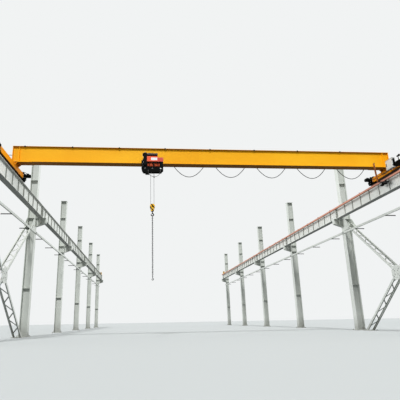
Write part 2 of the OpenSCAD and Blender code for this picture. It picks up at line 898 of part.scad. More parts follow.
// Four flanged rollers on the bottom flange, with their stub axles
module trolley_rollers() {
  out = -near_plate - 12;
  tread0 = box_w / 2 + 12;
  tread1 = flange_w / 2 + safe_gap;
  color("gray")
    for (s = [0, 1])
      for (x = [-270, 270])
        translate([hoist_x + x, bridge_y, tread_z + run_gap + roller_r])
          mirror([0, s, 0]) {
            rod_y(roller_r, tread0, tread1 + eps);
            rod_y(roller_r + 12, tread1, tread1 + 10);
            rod_y(17, tread1 + 10 - eps, out);
          }
}

// Upper sheave with its groove, turning about Y
module head_sheave(y) {
  translate([0, y, 0])
    rotate([90, 0, 0])
      rotate_extrude()
        polygon([
          [0, -17], [sheave_r + 12, -17], [sheave_r + 12, -rope_r - 6], [sheave_r - rope_r - run_gap, -rope_r - 1],
          [sheave_r - rope_r - run_gap, rope_r + 1], [sheave_r + 12, rope_r + 6], [sheave_r + 12, 17], [0, 17]]);
}

// End plates, head plates with three pins, the upper sheaves and the limit switch's weight
module hoist_frame() {
  near = bridge_y + near_plate;
  color("black") {
    for (x = [plate_left, plate_right])
      difference() {
        translate([hoist_x + x, 0, 0])
          along_x(-6, 6)
            polygon([
              [head_front, head_low + 30], [head_back - 20, pin_z - 30], [head_back + 50, head_high],
              [near, bridge_low - 170], [near, bridge_low + 60], [load_y + 115, bridge_low + 60],
              [load_y + 115, cover_shelf], [cover_front + 70, cover_shelf],
              [cover_front + 70, head_high + 30], [head_front, head_high - 10]]);
        translate([hoist_x, drum_y, drum_z])
          rod_x(30 + shaft_gap, x - 8, x + 8);
      }
    translate([hoist_x, head_front, 0])
      along_y(-6, 6)
        polygon([
          [head_left + 30, head_low], [head_right - 30, head_low], [head_right, head_low + 40],
          [head_right, head_high - 30], [head_right - 20, head_high], [head_left + 30, head_high],
          [head_left, head_high - 40], [head_left, head_low + 30]]);
    translate([hoist_x, head_back, 0])
      along_y(-6, 6)
        polygon([
          [head_left + 60, pin_z - 45], [head_right - 60, pin_z - 45], [head_right - 30, pin_z],
          [head_right - 60, head_high], [head_left + 60, head_high], [head_left + 30, pin_z]]);
    for (x = [-285, 0, 322])
      translate([hoist_x + x, 0, pin_z]) {
        rod_y(25, head_front - 14, head_back + 14);
        rod_y(34, head_front - 20, head_front - 6 + eps);
      }
    translate([hoist_x, load_y, pin_z])
      for (y = [-20, 20])
        head_sheave(y);
    block([hoist_x + 24, head_front - 6, head_high - eps], [hoist_x + 74, head_front + 24, cover_low]);
    block([hoist_x + plate_right + 6 - eps, head_front + 6 - eps, head_high - 60], [hoist_x + head_right, head_front + 150, cover_low - 5]);
    block([hoist_x + 50, head_front + 6 - eps, head_low + 10], [hoist_x + 74, head_front + 48, head_low + 22]);
    translate([hoist_x + 62, head_front + 36, 0]) {
      translate([0, 0, head_low - 190])
        cylinder(r = 6, h = 215);
      translate([0, 0, head_low - 215])
        cylinder(r = 22, h = 45);
    }
  }
}

// Grooved drum with its shaft
module rope_drum() {
  left = plate_left + 6;
  right = plate_right - 6;
  grooves = 20;
  pitch = (right - left - 88) / grooves;
  a = left + 14;
  b = right - 14;
  color("firebrick")
    translate([hoist_x, drum_y, drum_z])
      rotate([0, 90, 0])
        rotate_extrude()
          polygon(concat(
            [[0, left - 10], [30, left - 10], [30, a], [drum_r + 14, a], [drum_r + 14, a + 12], [drum_r, a + 12]],
            [for (i = [0:grooves - 1]) each [
              [drum_r, a + 30 + i * pitch + 2],
              [drum_r - 5, a + 30 + (i + 0.5) * pitch],
              [drum_r, a + 30 + (i + 1) * pitch - 2]]],
            [[drum_r, b - 12], [drum_r + 14, b - 12], [drum_r + 14, b], [30, b], [30, right + 10], [0, right + 10]]));
}

// Finned hoist motor lying on the panel housing
module hoist_motor() {
  x0 = hoist_x + plate_left - 6;
  x1 = x0 + 420;
  fins = 12;
  color("black")
    translate([0, drum_y + 10, motor_z]) {
      rod_x(motor_r - 10, x0, x1 - 10);
      for (i = [0:fins - 1])
        rod_x(motor_r - 2, x0 + 50 + i * 22, x0 + 58 + i * 22);
      rod_x(motor_r, x0, x0 + 30);
      rod_x(motor_r, x1 - 80, x1);
      block([x0 + 60, 20, 40], [x0 + 170, 100, motor_r + 10]);
    }
}

// Gearbox between the motor and the drum's left end
module hoist_gearbox() {
  x1 = hoist_x + plate_left - 6;
  x0 = hoist_x - 385;
  color("black") {
    along_x(x0 + 40, x1)
      hull() {
        translate([drum_y, drum_z])
          circle(r = 115);
        translate([drum_y + 10, motor_z])
          circle(r = 85);
      }
    translate([0, drum_y, drum_z])
      rod_x(88, x0, x0 + 40 + eps);
    translate([0, drum_y + 10, motor_z])
      rod_x(62, x0 + 5, x0 + 40 + eps);
    translate([0, drum_y - 40, (drum_z + motor_z) / 2])
      rod_x(45, x0 + 15, x0 + 40 + eps);
  }
}

// Panel housing above the drum: a taller part with the name place, and a lower one beside it
module hoist_panel() {
  x0 = hoist_x + plate_left - 6;
  x1 = hoist_x + 212;
  color("orangered") {
    along_x(x0, x1)
      polygon([
        [cover_front, cover_low], [cover_front, cover_high - 30], [cover_front + 30, cover_high],
        [cover_back - 20, cover_high], [cover_back, cover_high - 20], [cover_back, cover_shelf],
        [cover_front + 65, cover_shelf], [cover_front + 65, cover_low]]);
    along_x(x1 - eps, hoist_x + hoist_w / 2 - 4)
      polygon([
        [cover_front + 12, cover_low], [cover_front + 12, cover_high - 75], [cover_front + 55, cover_high - 35],
        [cover_back - 20, cover_high - 35], [cover_back, cover_high - 55], [cover_back, cover_shelf],
        [cover_front + 65, cover_shelf], [cover_front + 65, cover_low]]);
  }
}

// Box on the far side of the girder that balances the hoist
module counterweight() {
  y0 = bridge_y - near_plate;
  color("dimgray")
    translate([hoist_x, 0, 0])
      along_y(y0, y0 + 190)
        polygon([
          [-320, bridge_low - 140], [300, bridge_low - 140], [320, bridge_low - 120], [320, tread_z + 100],
          [300, tread_z + 120], [-300, tread_z + 120], [-320, tread_z + 100]]);
}

// Wire bail of the upper limit switch, hung in front of the head frame
module limit_bail() {
  wire = 8;
  bail_r = 235;
  z = head_low + 40;
  color("gray")
    translate([hoist_x + 70, head_front - 6 - wire, z]) {
      rotate([90, 180, 0])
        rotate_extrude(angle = 180)
          translate([bail_r, 0])
            circle(r = wire, $fn = 24);
      for (s = [-1, 1])
        block([s * bail_r - 15, -wire - 2, -eps], [s * bail_r + 15, wire, 40]);
    }
}

// Four straight falls of rope between the head and the hook block
module rope_falls() {
  color("dimgray")
    for (x = [-1, 1])
      for (y = [-20, 20])
        translate([hoist_x + x * sheave_r, load_y + y, block_z])
          cylinder(r = rope_r, h = pin_z - block_z);
}

// Cheek plates of the hook block with their pin
module block_cheeks() {
  color("gold")
    translate([hoist_x, load_y, block_z]) {
      for (s = [0, 1])
        mirror([0, s, 0])
          along_y(cheek_in, cheek_in + cheek_t)
            hull() {
              circle(r = 96);
              translate([-50, -195])
                square([100, 40]);
            }
      rod_y(17, -cheek_in - cheek_t - 8, cheek_in + cheek_t + 8);
      for (x = [-40, 24])
        block([x, -cheek_in - eps, -120], [x + 16, cheek_in + eps, -104]);
    }
}

// Two sheaves on the block's pin
module block_sheaves() {
  color("dimgray")
    translate([hoist_x, load_y, block_z])
      for (y = [-20, 20])
        difference() {
          head_sheave(y);
          rod_y(17 + shaft_gap, -60, 60);
        }
}

// Rope that passes round the block's sheaves
module rope_bights() {
  color("dimgray")
    translate([hoist_x, load_y, block_z])
      for (y = [-20, 20])
        translate([0, y, 0])
          rotate([90, 180, 0])
            rotate_extrude(angle = 180)
              translate([sheave_r, 0])
                circle(r = rope_r);
}

// Crosshead between the cheeks, bored for the hook's shank
module block_crosshead() {
  color("black")
    translate([hoist_x, load_y, crosshead_z])
      difference() {
        block([-40, -cheek_in, -22], [40, cheek_in, 22]);
        translate([0, 0, -30])
          cylinder(r = shank_r + shaft_gap, h = 60);
      }
}

// Hook bowl of bar radius r about its centre, open at its upper left, in the X-Z plane
module bowl(mid, r) {
  tip = 172;
  rotate([90, 0, 0])
    rotate([0, 0, tip - 360])
      rotate_extrude(angle = 450 - tip)
        translate([mid, 0])
          circle(r = r, $fn = 24);
  translate([mid * cos(tip), 0, mid * sin(tip)])
    sphere(r = r - 0.5);
}

// Forged hook with its nut, shank and bowl
module lifting_hook() {
  color("black")
    translate([hoist_x, load_y, 0]) {
      translate([0, 0, crosshead_z + 22 + run_gap])
        cylinder(r = 30, h = 26, $fn = 6);
      translate([0, 0, bowl_z + bowl_mid + 20])
        cylinder(r = shank_r, h = crosshead_z + 40 - bowl_z - bowl_mid - 20);
      translate([0, 0, bowl_z + bowl_mid - hook_rod_r - 2])
        cylinder(r = hook_rod_r + 4, h = hook_rod_r + 40);
      translate([0, 0, bowl_z])
        bowl(bowl_mid, hook_rod_r);
    }
}

// One oblong link in the X-Z plane with the inside of its top bar at z = 0
module oblong_link(inner_l, inner_w, r) {
  turn_r = inner_w / 2 + r;
  straight = inner_l - inner_w;
  translate([0, 0, -inner_w / 2]) {
    for (m = [0, 1])
      translate([0, 0, -m * straight])
        mirror([0, 0, m])
          rotate([90, 0, 0])
            rotate_extrude(angle = 180)
              translate([turn_r, 0])
                circle(r = r, $fn = 16);
    for (s = [-1, 1])
      translate([s * turn_r, 0, -straight])
        cylinder(r = r, h = straight, $fn = 16);
  }
}

// Single-leg chain sling: master link, then links each turned by a quarter
module sling_chain() {
  color("dimgray")
    translate([hoist_x, load_y, 0]) {
      translate([0, 0, master_z])
        rotate([0, 0, 90])
          oblong_link(master_l, master_w, master_r);
      for (i = [0:links - 1])
        translate([0, 0, first_link_z - i * chain_pitch])
          rotate([0, 0, i % 2 == 0 ? 0 : 90])
            oblong_link(chain_in, chain_in * 0.46, chain_r);
    }
}

// Hook at the foot of the sling, its eye across the last link
module sling_hook() {
  rod = 11;
  mid = 31;
  drop = 72;
  color("firebrick")
    translate([hoist_x, load_y, eye_z])
      rotate([0, 0, links % 2 == 0 ? 0 : 90]) {
        rotate([90, 0, 0])
          rotate_extrude()
            translate([eye_r + 6, 0])
              circle(r = 6, $fn = 24);
        translate([0, 0, -drop + 12])
          cylinder(r = 10, h = drop - 26);
        translate([0, 0, -drop - 6])
          cylinder(r = rod + 3, h = 22);
        translate([0, 0, -drop - mid])
          bowl(mid, rod);
      }
}

column_row(-1);  // columns_left
column_row(1);  // columns_right
girder_brackets();
runway_girder(-1);  // runway_girder_left
runway_girder(1);  // runway_girder_right
crane_rails();
end_stops();
tie_strut(-1);  // tie_strut_left
tie_strut(1);  // tie_strut_right
tie_arms();
brace_through(-1);  // brace_through_left
brace_through(1);  // brace_through_right
brace_halves(-1);  // brace_halves_left
brace_halves(1);  // brace_halves_right
conductor_rail();
bridge_girder();
end_carriage(-1);  // end_carriage_left
end_carriage(1);  // end_carriage_right
wheel_blocks();
travel_drives();
bridge_buffers();
control_cabinet();
resistor_box();
collector_arm();
current_collector();
festoon_track();
festoon_cable();
bridge_wheel(-1, -1);  // wheel_left_near
bridge_wheel(-1, 1);  // wheel_left_far
bridge_wheel(1, -1);  // wheel_right_near
bridge_wheel(1, 1);  // wheel_right_far
trolley_frame();
trolley_rollers();
hoist_frame();
rope_drum();
hoist_motor();
hoist_gearbox();
hoist_panel();
counterweight();
limit_bail();
rope_falls();
block_cheeks();
block_sheaves();
rope_bights();
block_crosshead();
lifting_hook();
sling_chain();
sling_hook();
festoon_carrier(1);  // festoon_carrier_1
festoon_carrier(2);  // festoon_carrier_2
festoon_carrier(3);  // festoon_carrier_3
festoon_carrier(4);  // festoon_carrier_4
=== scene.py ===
import math
import bpy
import numpy as np
from mathutils import Matrix, Vector


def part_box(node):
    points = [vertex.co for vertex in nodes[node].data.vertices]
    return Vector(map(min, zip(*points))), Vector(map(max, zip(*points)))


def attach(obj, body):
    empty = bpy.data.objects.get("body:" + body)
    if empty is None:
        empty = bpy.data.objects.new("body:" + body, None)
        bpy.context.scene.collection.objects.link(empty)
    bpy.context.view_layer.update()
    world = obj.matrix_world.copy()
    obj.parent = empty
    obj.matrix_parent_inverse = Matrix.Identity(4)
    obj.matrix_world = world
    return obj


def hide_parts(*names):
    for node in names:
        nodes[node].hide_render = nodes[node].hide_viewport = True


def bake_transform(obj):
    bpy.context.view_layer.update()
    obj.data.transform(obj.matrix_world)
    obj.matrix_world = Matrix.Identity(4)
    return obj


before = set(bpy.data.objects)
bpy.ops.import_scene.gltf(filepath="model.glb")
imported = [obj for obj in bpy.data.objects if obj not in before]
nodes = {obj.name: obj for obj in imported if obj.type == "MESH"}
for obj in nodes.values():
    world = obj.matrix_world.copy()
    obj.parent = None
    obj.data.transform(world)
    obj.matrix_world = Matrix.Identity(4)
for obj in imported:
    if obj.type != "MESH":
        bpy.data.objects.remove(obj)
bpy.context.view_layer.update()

# Camera: a wide lens held about 0.6 m above the floor, twelve metres outside the first
# columns, tilted up at the bridge. Its place and angles were fitted to the picture, and the
# shift puts the lens axis where it lies in the frame, in pixels from the top left.
eye = Vector((-2.721, -30.62, 0.596))
yaw, pitch, roll = (math.radians(a) for a in (4.79, 14.71, -1.04))
frame_px, axis_x_px, axis_y_px = 400, 173.2, 219.9
ahead = Vector((math.sin(yaw) * math.cos(pitch), math.cos(yaw) * math.cos(pitch), math.sin(pitch)))
level = Vector((math.cos(yaw), -math.sin(yaw), 0))
upright = level.cross(ahead)
right = level * math.cos(roll) + upright * math.sin(roll)
up = upright * math.cos(roll) - level * math.sin(roll)
lens = bpy.data.cameras.new("camera")
lens.sensor_width = 36
lens.lens = 34.72
lens.shift_x = (frame_px / 2 - axis_x_px) / frame_px
lens.shift_y = (axis_y_px - frame_px / 2) / frame_px
lens.clip_end = 400
camera = bpy.data.objects.new("camera", lens)
turn = Matrix((right, up, -ahead)).transposed().to_4x4()
camera.matrix_world = Matrix.Translation(eye) @ turn
bpy.context.scene.collection.objects.link(camera)
bpy.context.scene.camera = camera
bpy.context.scene.view_settings.view_transform = "Standard"


# Daylight: a pale sky all round, one light from high above the camera's side, two low broad
# ones from inside the hall on each row of columns, and a weak one from behind.
def linear(hex_colour):
    """sRGB hex to linear light, channel by channel along the sRGB curve."""
    c = np.array([int(hex_colour[i:i + 2], 16) for i in (1, 3, 5)]) / 255
    return (*np.where(c <= 0.04045, c / 12.92, ((c + 0.055) / 1.055) ** 2.4), 1.0)


def add(tree, kind, settings=None, links=None, out=0):
    """Adds one node, sets its inputs or properties, links its inputs to given sockets, and
    gives the output that is asked for, by its number or name."""
    n = tree.nodes.new(kind)
    for key, value in (settings or {}).items():
        if isinstance(key, int) or key in n.inputs.keys():
            n.inputs[key].default_value = value
        else:
            setattr(n, key, value)
    for key, socket in (links or {}).items():
        tree.links.new(socket, n.inputs[key])
    return n.outputs[out] if len(n.outputs) else None


def seen_directly(tree):
    """A share of 1 where the camera looks straight or through glass, and 0 for other light."""
    rays = add(tree, "ShaderNodeLightPath").node
    return add(tree, "ShaderNodeMath", {"operation": "MAXIMUM"},
               {0: rays.outputs["Is Camera Ray"], 1: rays.outputs["Is Transmission Ray"]})


sky = bpy.data.worlds.new("sky")
sky.use_nodes = True
sky.node_tree.nodes.clear()
light = add(sky.node_tree, "ShaderNodeBackground", {"Color": linear("#EEF3F3"), "Strength": 0.42})
backdrop = add(sky.node_tree, "ShaderNodeBackground", {"Color": linear("#F1F3F3"), "Strength": 1.0})
sight = add(sky.node_tree, "ShaderNodeMixShader", None,
            {0: seen_directly(sky.node_tree), 1: light, 2: backdrop})
add(sky.node_tree, "ShaderNodeOutputWorld", None, {"Surface": sight})
bpy.context.scene.world = sky
for name, strength, softness, aim in (
        ("front_light", 2.5, 8, (0.10, 0.70, -0.70)),
        ("left_light", 2.8, 35, (-0.95, 0.06, -0.15)),
        ("right_light", 2.6, 35, (0.95, 0.06, -0.15)),
        ("back_light", 0.2, 40, (-0.2, -0.8, -0.6))):
    lamp = bpy.data.lights.new(name, "SUN")
    lamp.energy = strength
    lamp.angle = math.radians(softness)
    sun = bpy.data.objects.new(name, lamp)
    sun.rotation_euler = Vector(aim).to_track_quat("-Z", "Y").to_euler()
    bpy.context.scene.collection.objects.link(sun)


# Floor: a wide, plain slab that keeps the frame's shadow. It isn't part of the crane. It
# looks pale, and sends up only as much light as the dull floor of a hall does.
def blank(name):
    """A new material with nodes."""
    m = bpy.data.materials.new(name)
    m.use_nodes = True
    return m


def feed(material, inputs):
    """Gives inputs of a material's shader a constant, or a link from a socket."""
    shader = material.node_tree.nodes["Principled BSDF"]
    for key, value in inputs.items():
        if isinstance(value, float):
            shader.inputs[key].default_value = value
        else:
            material.node_tree.links.new(value, shader.inputs[key])


def over(under, top, share, blend="MIX"):
    """One colour laid over another by a share, which is a socket. Each colour is a socket, an
    sRGB hex or linear RGBA."""
    settings, links = {"blend_type": blend}, {"Fac": share}
    for key, colour in (("Color1", under), ("Color2", top)):
        if isinstance(colour, str):
            settings[key] = linear(colour)
        elif isinstance(colour, tuple):
            settings[key] = colour
        else:
            links[key] = colour
    return add(share.id_data, "ShaderNodeMixRGB", settings, links)


floor_side, floor_near, floor_far = 140, -90, 190
slab = bpy.data.meshes.new("floor")
slab.from_pydata([(-floor_side, floor_near, 0), (floor_side, floor_near, 0),
                  (floor_side, floor_far, 0), (-floor_side, floor_far, 0)], [], [(0, 1, 2, 3)])
floor = bpy.data.objects.new("floor", slab)
bpy.context.scene.collection.objects.link(floor)
concrete = blank("pale_floor")
feed(concrete, {"Base Color": over("#6F7373", "#C4C8C8", seen_directly(concrete.node_tree)), "Roughness": 0.8})
slab.materials.append(concrete)


# Columns: rolled I-sections with welded base, cap and stiffener plates, shop-primed and
# sprayed off-white. Dust lies on every ledge, faint runs come down the faces, painted shade and
# some soot darken what faces down, painted shade greys the faces that look along the hall, and
# the foot is scuffed grey by sweeping and traffic.
def point_on(material):
    """The surface point in the object's own coordinates, in metres."""
    return add(material.node_tree, "ShaderNodeTexCoord", out="Object")


def normal_of(material):
    """The direction that the surface faces."""
    return add(material.node_tree, "ShaderNodeNewGeometry", out="Normal")


def part(vector, axis):
    """The X, Y or Z of a vector."""
    return add(vector.id_data, "ShaderNodeSeparateXYZ", None, {0: vector}, axis)


def noise(point, scale, detail, roughness=0.5):
    """Noise from 0 to 1, with about scale features a metre."""
    settings = {"Scale": scale, "Detail": detail, "Roughness": roughness}
    return add(point.id_data, "ShaderNodeTexNoise", settings, {"Vector": point}, "Fac")


def ramp(value, start, end, low=0.0, high=1.0):
    """Low where the value is start, high where it is end, straight between and flat beyond."""
    settings = {"From Min": start, "From Max": end, "To Min": low, "To Max": high}
    return add(value.id_data, "ShaderNodeMapRange", settings, {"Value": value})


def calc(operation, *terms):
    """A maths node. A term is a socket, as the first one is, or a number."""
    numbers = {i: term for i, term in enumerate(terms) if isinstance(term, float)}
    sockets = {i: term for i, term in enumerate(terms) if not isinstance(term, float)}
    return add(terms[0].id_data, "ShaderNodeMath", {"operation": operation, **numbers}, sockets)


def painted_steel(name, paint, faded, dust, gloss=0.45, runs=0.2, soot_and_shade=0.35, foot=0.0, sheen=0.5,
                  grime_and_shade="#2A2622", peel=0.25):
    """Sprayed steel paint: a base colour that drifts over metre-wide patches, vertical runs,
    dust where the surface faces up, a darker colour mixed in where it faces down, which is
    painted shade on the undersides as well as soot, a scuffed foot, and a fine orange-peel
    bump of strength peel."""
    m = blank(name)
    where = point_on(m)
    upness = part(normal_of(m), "Z")
    stretched = add(m.node_tree, "ShaderNodeMapping", {"Scale": (7.0, 7.0, 0.5)}, {"Vector": where})
    streaks = noise(stretched, 1.6, 6.0, 0.65)
    colour = over(paint, faded, ramp(noise(where, 0.45, 5.0, 0.6), 0.38, 0.66))
    colour = over(colour, dust, ramp(streaks, 0.56, 0.78, high=runs))
    colour = over(colour, dust, ramp(upness, 0.6, 0.95, high=0.6))
    # painted shade, with some soot: what faces down is mixed towards the darker colour
    colour = over(colour, grime_and_shade, ramp(upness, -0.45, -0.9, high=soot_and_shade))
    if foot:
        scuff = ramp(part(where, "Z"), 0.75, 0.0, high=foot)
        colour = over(colour, "#6E6D66", calc("MULTIPLY", scuff, noise(where, 9.0, 6.0)))
    feed(m, {"Base Color": colour, "Roughness": ramp(streaks, 0.0, 1.0, gloss - 0.08, gloss + 0.14),
             "Specular IOR Level": sheen})
    if peel:
        bump = {"Strength": peel, "Distance": 0.0006}
        feed(m, {"Normal": add(m.node_tree, "ShaderNodeBump", bump, {"Height": noise(where, 180.0, 2.0)})})
    return m


def recoat(material, top, share, blend="MIX"):
    """Lays one more colour over a material's base colour, by a share."""
    base = material.node_tree.nodes["Principled BSDF"].inputs["Base Color"]
    feed(material, {"Base Color": over(base.links[0].from_socket, top, share, blend)})


def shade_endwise_faces(material, shade_colour, most):
    """Mixes a dark colour into a paint as painted shade on the faces that look along the hall,
    by at most the given share: it rises as the size of the normal's Y goes from 0.6 to 0.95."""
    endwise = calc("ABSOLUTE", part(normal_of(material), "Y"))
    recoat(material, shade_colour, ramp(endwise, 0.6, 0.95, high=most))


def coat(material, *names):
    """Puts a material on CAD nodes, in every slot that they have."""
    for name in names:
        for s in nodes[name].material_slots:
            s.material = material


def piece(name, points, faces, material, body, slot, crease=None):
    """A mesh object from a point array and corner lists, at the origin, smooth up to the crease
    angle in degrees. It rides on the named body, or on none if no body is given."""
    mesh = bpy.data.meshes.new(name)
    mesh.from_pydata(np.asarray(points, float).tolist(), [], faces)
    mesh.update()
    if crease is not None:
        mesh.shade_smooth()
        mesh.set_sharp_from_angle(angle=math.radians(crease))
    mesh.materials.append(material)
    o = bpy.data.objects.new(name, mesh)
    bpy.context.scene.collection.objects.link(o)
    if body:
        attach(o, body)
    return o


def skin(rings, sides, closed=False):
    """Corner lists of the quads between rings of points, where corner j of ring i is point
    i * sides + j. The first and last rings are capped, or joined if the skin is closed."""
    i, j = np.meshgrid(np.arange(rings if closed else rings - 1), np.arange(sides), indexing="ij")
    k, n = (j + 1) % sides, (i + 1) % rings
    corners = [i * sides + j, i * sides + k, n * sides + k, n * sides + j]
    faces = np.stack(corners, 2).reshape(-1, 4).tolist()
    if closed:
        return faces
    return faces + [list(range(sides))[::-1], list(range((rings - 1) * sides, rings * sides))]


def turned(profile, sides):
    """Profile points (radius, height) carried round Z: ring i, corner j sits at
    (r cos a, r sin a, z) with a = 2 pi j / sides."""
    r, z = np.asarray(profile, float).T
    a = np.arange(sides) * 2 * np.pi / sides
    points = np.stack([np.outer(r, np.cos(a)), np.outer(r, np.sin(a)), np.outer(z, np.ones(sides))], 2)
    return points.reshape(-1, 3), skin(len(r), sides)


def joined(*shapes):
    """Several (points, faces) as one, with the corner numbers moved along."""
    points, faces, start = [], [], 0
    for p, f in shapes:
        points.append(p)
        faces += [[start + c for c in corners] for corners in f]
        start += len(p)
    return np.concatenate(points), faces


def copied(shape, places, axes):
    """The shape set at each place with its own Z along that place's axis: a rotation is built
    from the axis and two directions square to it, and multiplies every point at once."""
    points, faces = shape
    places = np.asarray(places, float).reshape(-1, 3)
    z = np.broadcast_to(np.asarray(axes, float), places.shape)
    z = z / np.linalg.norm(z, axis=1, keepdims=True)
    side = np.where(np.abs(z[:, :1]) > 0.9, [[0.0, 1.0, 0.0]], [[1.0, 0.0, 0.0]])
    x = np.cross(side, z)
    x /= np.linalg.norm(x, axis=1, keepdims=True)
    y = np.cross(z, x)
    turned_points = (points[None, :, :1] * x[:, None] + points[None, :, 1:2] * y[:, None]
                     + points[None, :, 2:] * z[:, None] + places[:, None])
    n = len(points)
    every = [[c + n * k for c in corners] for k in range(len(places)) for corners in faces]
    return turned_points.reshape(-1, 3), every


def both_sides(shape):
    """The shape and its mirror image across the hall's middle, with the image's corners in
    the opposite order so that its faces still point outwards."""
    return joined(shape, (shape[0] * [-1, 1, 1], [f[::-1] for f in shape[1]]))


def tube(path, radius, sides, closed=False):
    """A round tube along a path: at each point two directions square to the path's tangent
    carry a circle of the given radius. The sideways one starts square to the first tangent
    and is kept by taking its part along each next tangent away."""
    p = np.asarray(path, float)
    t = np.roll(p, -1, 0) - np.roll(p, 1, 0) if closed else np.gradient(p, axis=0)
    t /= np.linalg.norm(t, axis=1, keepdims=True)
    u = np.zeros_like(p)
    guess = np.array([0.0, 1.0, 0.0]) if abs(t[0, 1]) < 0.9 else np.array([1.0, 0.0, 0.0])
    for i in range(len(p)):
        guess = guess - t[i] * (guess @ t[i])
        guess = guess / np.linalg.norm(guess)
        u[i] = guess
    v = np.cross(t, u)
    a = np.arange(sides) * 2 * np.pi / sides
    circles = np.cos(a)[None, :, None] * u[:, None] + np.sin(a)[None, :, None] * v[:, None]
    return (p[:, None] + radius * circles).reshape(-1, 3), skin(len(p), sides, closed)


def grid(xs, ys, zs):
    """Every point whose x, y and z come from the three lists."""
    return np.stack(np.meshgrid(xs, ys, zs, indexing="ij"), 3).reshape(-1, 3)


def spread(centres, reach):
    """Two values for each centre, the reach below it and above it."""
    return [c + e * reach for c in centres for e in (-1, 1)]


def hex_bolt(d, stub=0.0):
    """Washer and hexagon head of a bolt of diameter d, with a threaded stub if it's a nut."""
    washer = turned([(1.15 * d, 0), (1.15 * d, 0.16 * d)], 12)
    head = turned([(0.9 * d, 0.16 * d), (0.9 * d, 0.72 * d), (0.78 * d, 0.8 * d)], 6)
    if not stub:
        return joined(washer, head)
    thread = turned([(0.5 * d, 0.8 * d), (0.5 * d, 0.8 * d + stub), (0.4 * d, 0.9 * d + stub)], 8)
    return joined(washer, head, thread)


def bolts(name, body, size, *groups, stub=0.0, mirrored=False, finish=None):
    """Bolts or nuts of one size as one piece. Each group is their places and the axis that they
    point along. They are galvanised unless a material and its slot are given, and mirrored
    adds their image across the hall."""
    shape = joined(*[copied(hex_bolt(size, stub), places, axis) for places, axis in groups])
    material, slot = finish or (zinc, "zinc_steel")
    piece(name, *(both_sides(shape) if mirrored else shape), material, body, slot)


def beads(starts, run, radius):
    """A straight bead of weld from each start, along the run."""
    return joined(*[tube([start, start + run], radius, 6) for start in starts])


off_white = painted_steel("sprayed_enamel_off_white", "#DDE1DC", "#D2D6D0", "#B3B3A6", 0.5, 0.16, 0.25,
                          foot=1.1, sheen=0.3, peel=0.0)
shade_endwise_faces(off_white, "#7A7E75", 0.28)
coat(off_white, "columns_left", "columns_right")
zinc = blank("galvanised_steel")
spangle = add(zinc.node_tree, "ShaderNodeTexVoronoi", {"Scale": 120.0}, {"Vector": point_on(zinc)}, "Distance")
feed(zinc, {"Base Color": over("#8D8F8E", "#B4B6B4", spangle), "Metallic": 0.85, "Roughness": 0.48})
upward, frontward = (0, 0, 1), (0, -1, 0)
column_y = np.arange(6) * 7.5 - 18.75
rows_x = spread([0], 8.25)
plate_top = 0.030
anchors = grid(spread(rows_x, 0.235), spread(column_y, 0.205), [plate_top])
bolts("anchor_nuts", "runway", 0.026, (anchors, upward), stub=0.030)
half_depth, flange_inside, half_width, half_web = 0.190, 0.176, 0.160, 0.0045
half_section = [(-half_depth, -half_width), (-flange_inside, -half_width), (-flange_inside, -half_web),
                (flange_inside, -half_web), (flange_inside, -half_width), (half_depth, -half_width)]
section = [(e * x, e * y, 0.0) for e in (1, -1) for x, y in half_section]
foot_welds = copied(tube(section, 0.008, 6, closed=True), grid(rows_x, column_y, [plate_top + 0.001]), upward)
piece("foot_welds", *foot_welds, off_white, "runway", "steelwork")

# Brackets: a tapered welded cantilever on the inner face of each column, painted with it.
# Four bolts hold the girders' bottom flanges down on each bearing plate.
coat(off_white, "girder_brackets")
rail_x = 7.85
rails_x = spread([0], rail_x)
girder_low, girder_flange = 5.78, 0.014
bearings = grid(spread(rails_x, 0.085), spread(column_y, 0.062), [girder_low + girder_flange])
bolts("bearing_bolts", "runway", 0.022, (bearings, upward))
bracket_root, bracket_half, bracket_edges = 8.0605, 0.10, (5.310, 5.324, 5.746, 5.760)
roots = grid(spread([0], bracket_root), column_y - bracket_half, bracket_edges)
piece("bracket_welds", *beads(roots, (0, 2 * bracket_half, 0), 0.008), off_white, "runway", "steelwork")

# Runway girders: welded plate I-girders, one to a bay, with web stiffeners. A slightly cooler
# batch of the same enamel, with dust on the ledges, grey painted shade on the faces of the
# stiffeners and the other faces that look along the hall, and painted shade with some soot on
# what faces down. Their end plates are bolted together over each bracket.
runway_paint = painted_steel("sprayed_enamel_pale_grey", "#E9ECE8", "#E2E5E0", "#ABAA9C", 0.5, 0.18, 0.55,
                             sheen=0.3, peel=0.0)
shade_endwise_faces(runway_paint, "#7C7E76", 0.65)
coat(runway_paint, "runway_girder_left", "runway_girder_right")
splice_z = (5.90, 6.03, 6.16, 6.29)
bolts("splice_bolts", "runway", 0.020, *[
    (grid(spread(rails_x, 0.075), column_y[1:-1] + e * 0.019, splice_z), (0, e, 0)) for e in (-1, 1)])
runway_half, web_joints = 18.90, (5.795, 6.375)
seams = grid(spread(rails_x, 0.005), [-runway_half], web_joints)
piece("runway_welds", *beads(seams, (0, 2 * runway_half, 0), 0.006), runway_paint, "runway", "runway_paint")

# Rails: rolled steel, brown on the foot and web, and polished where the wheels run. Pressed
# clips hold the foot down every 750 mm, one bolt to a clip.
rail_steel = blank("rolled_rail_steel")
place = point_on(rail_steel)
polished = ramp(part(place, "Z"), 6.446, 6.4495)
rusty = over("#4A3B32", "#7A5A44", noise(place, 14.0, 8.0, 0.7))
feed(rail_steel, {"Base Color": over(rusty, "#A9A7A2", polished), "Metallic": polished,
                  "Roughness": ramp(polished, 0.0, 1.0, 0.75, 0.3)})
coat(rail_steel, "crane_rails")


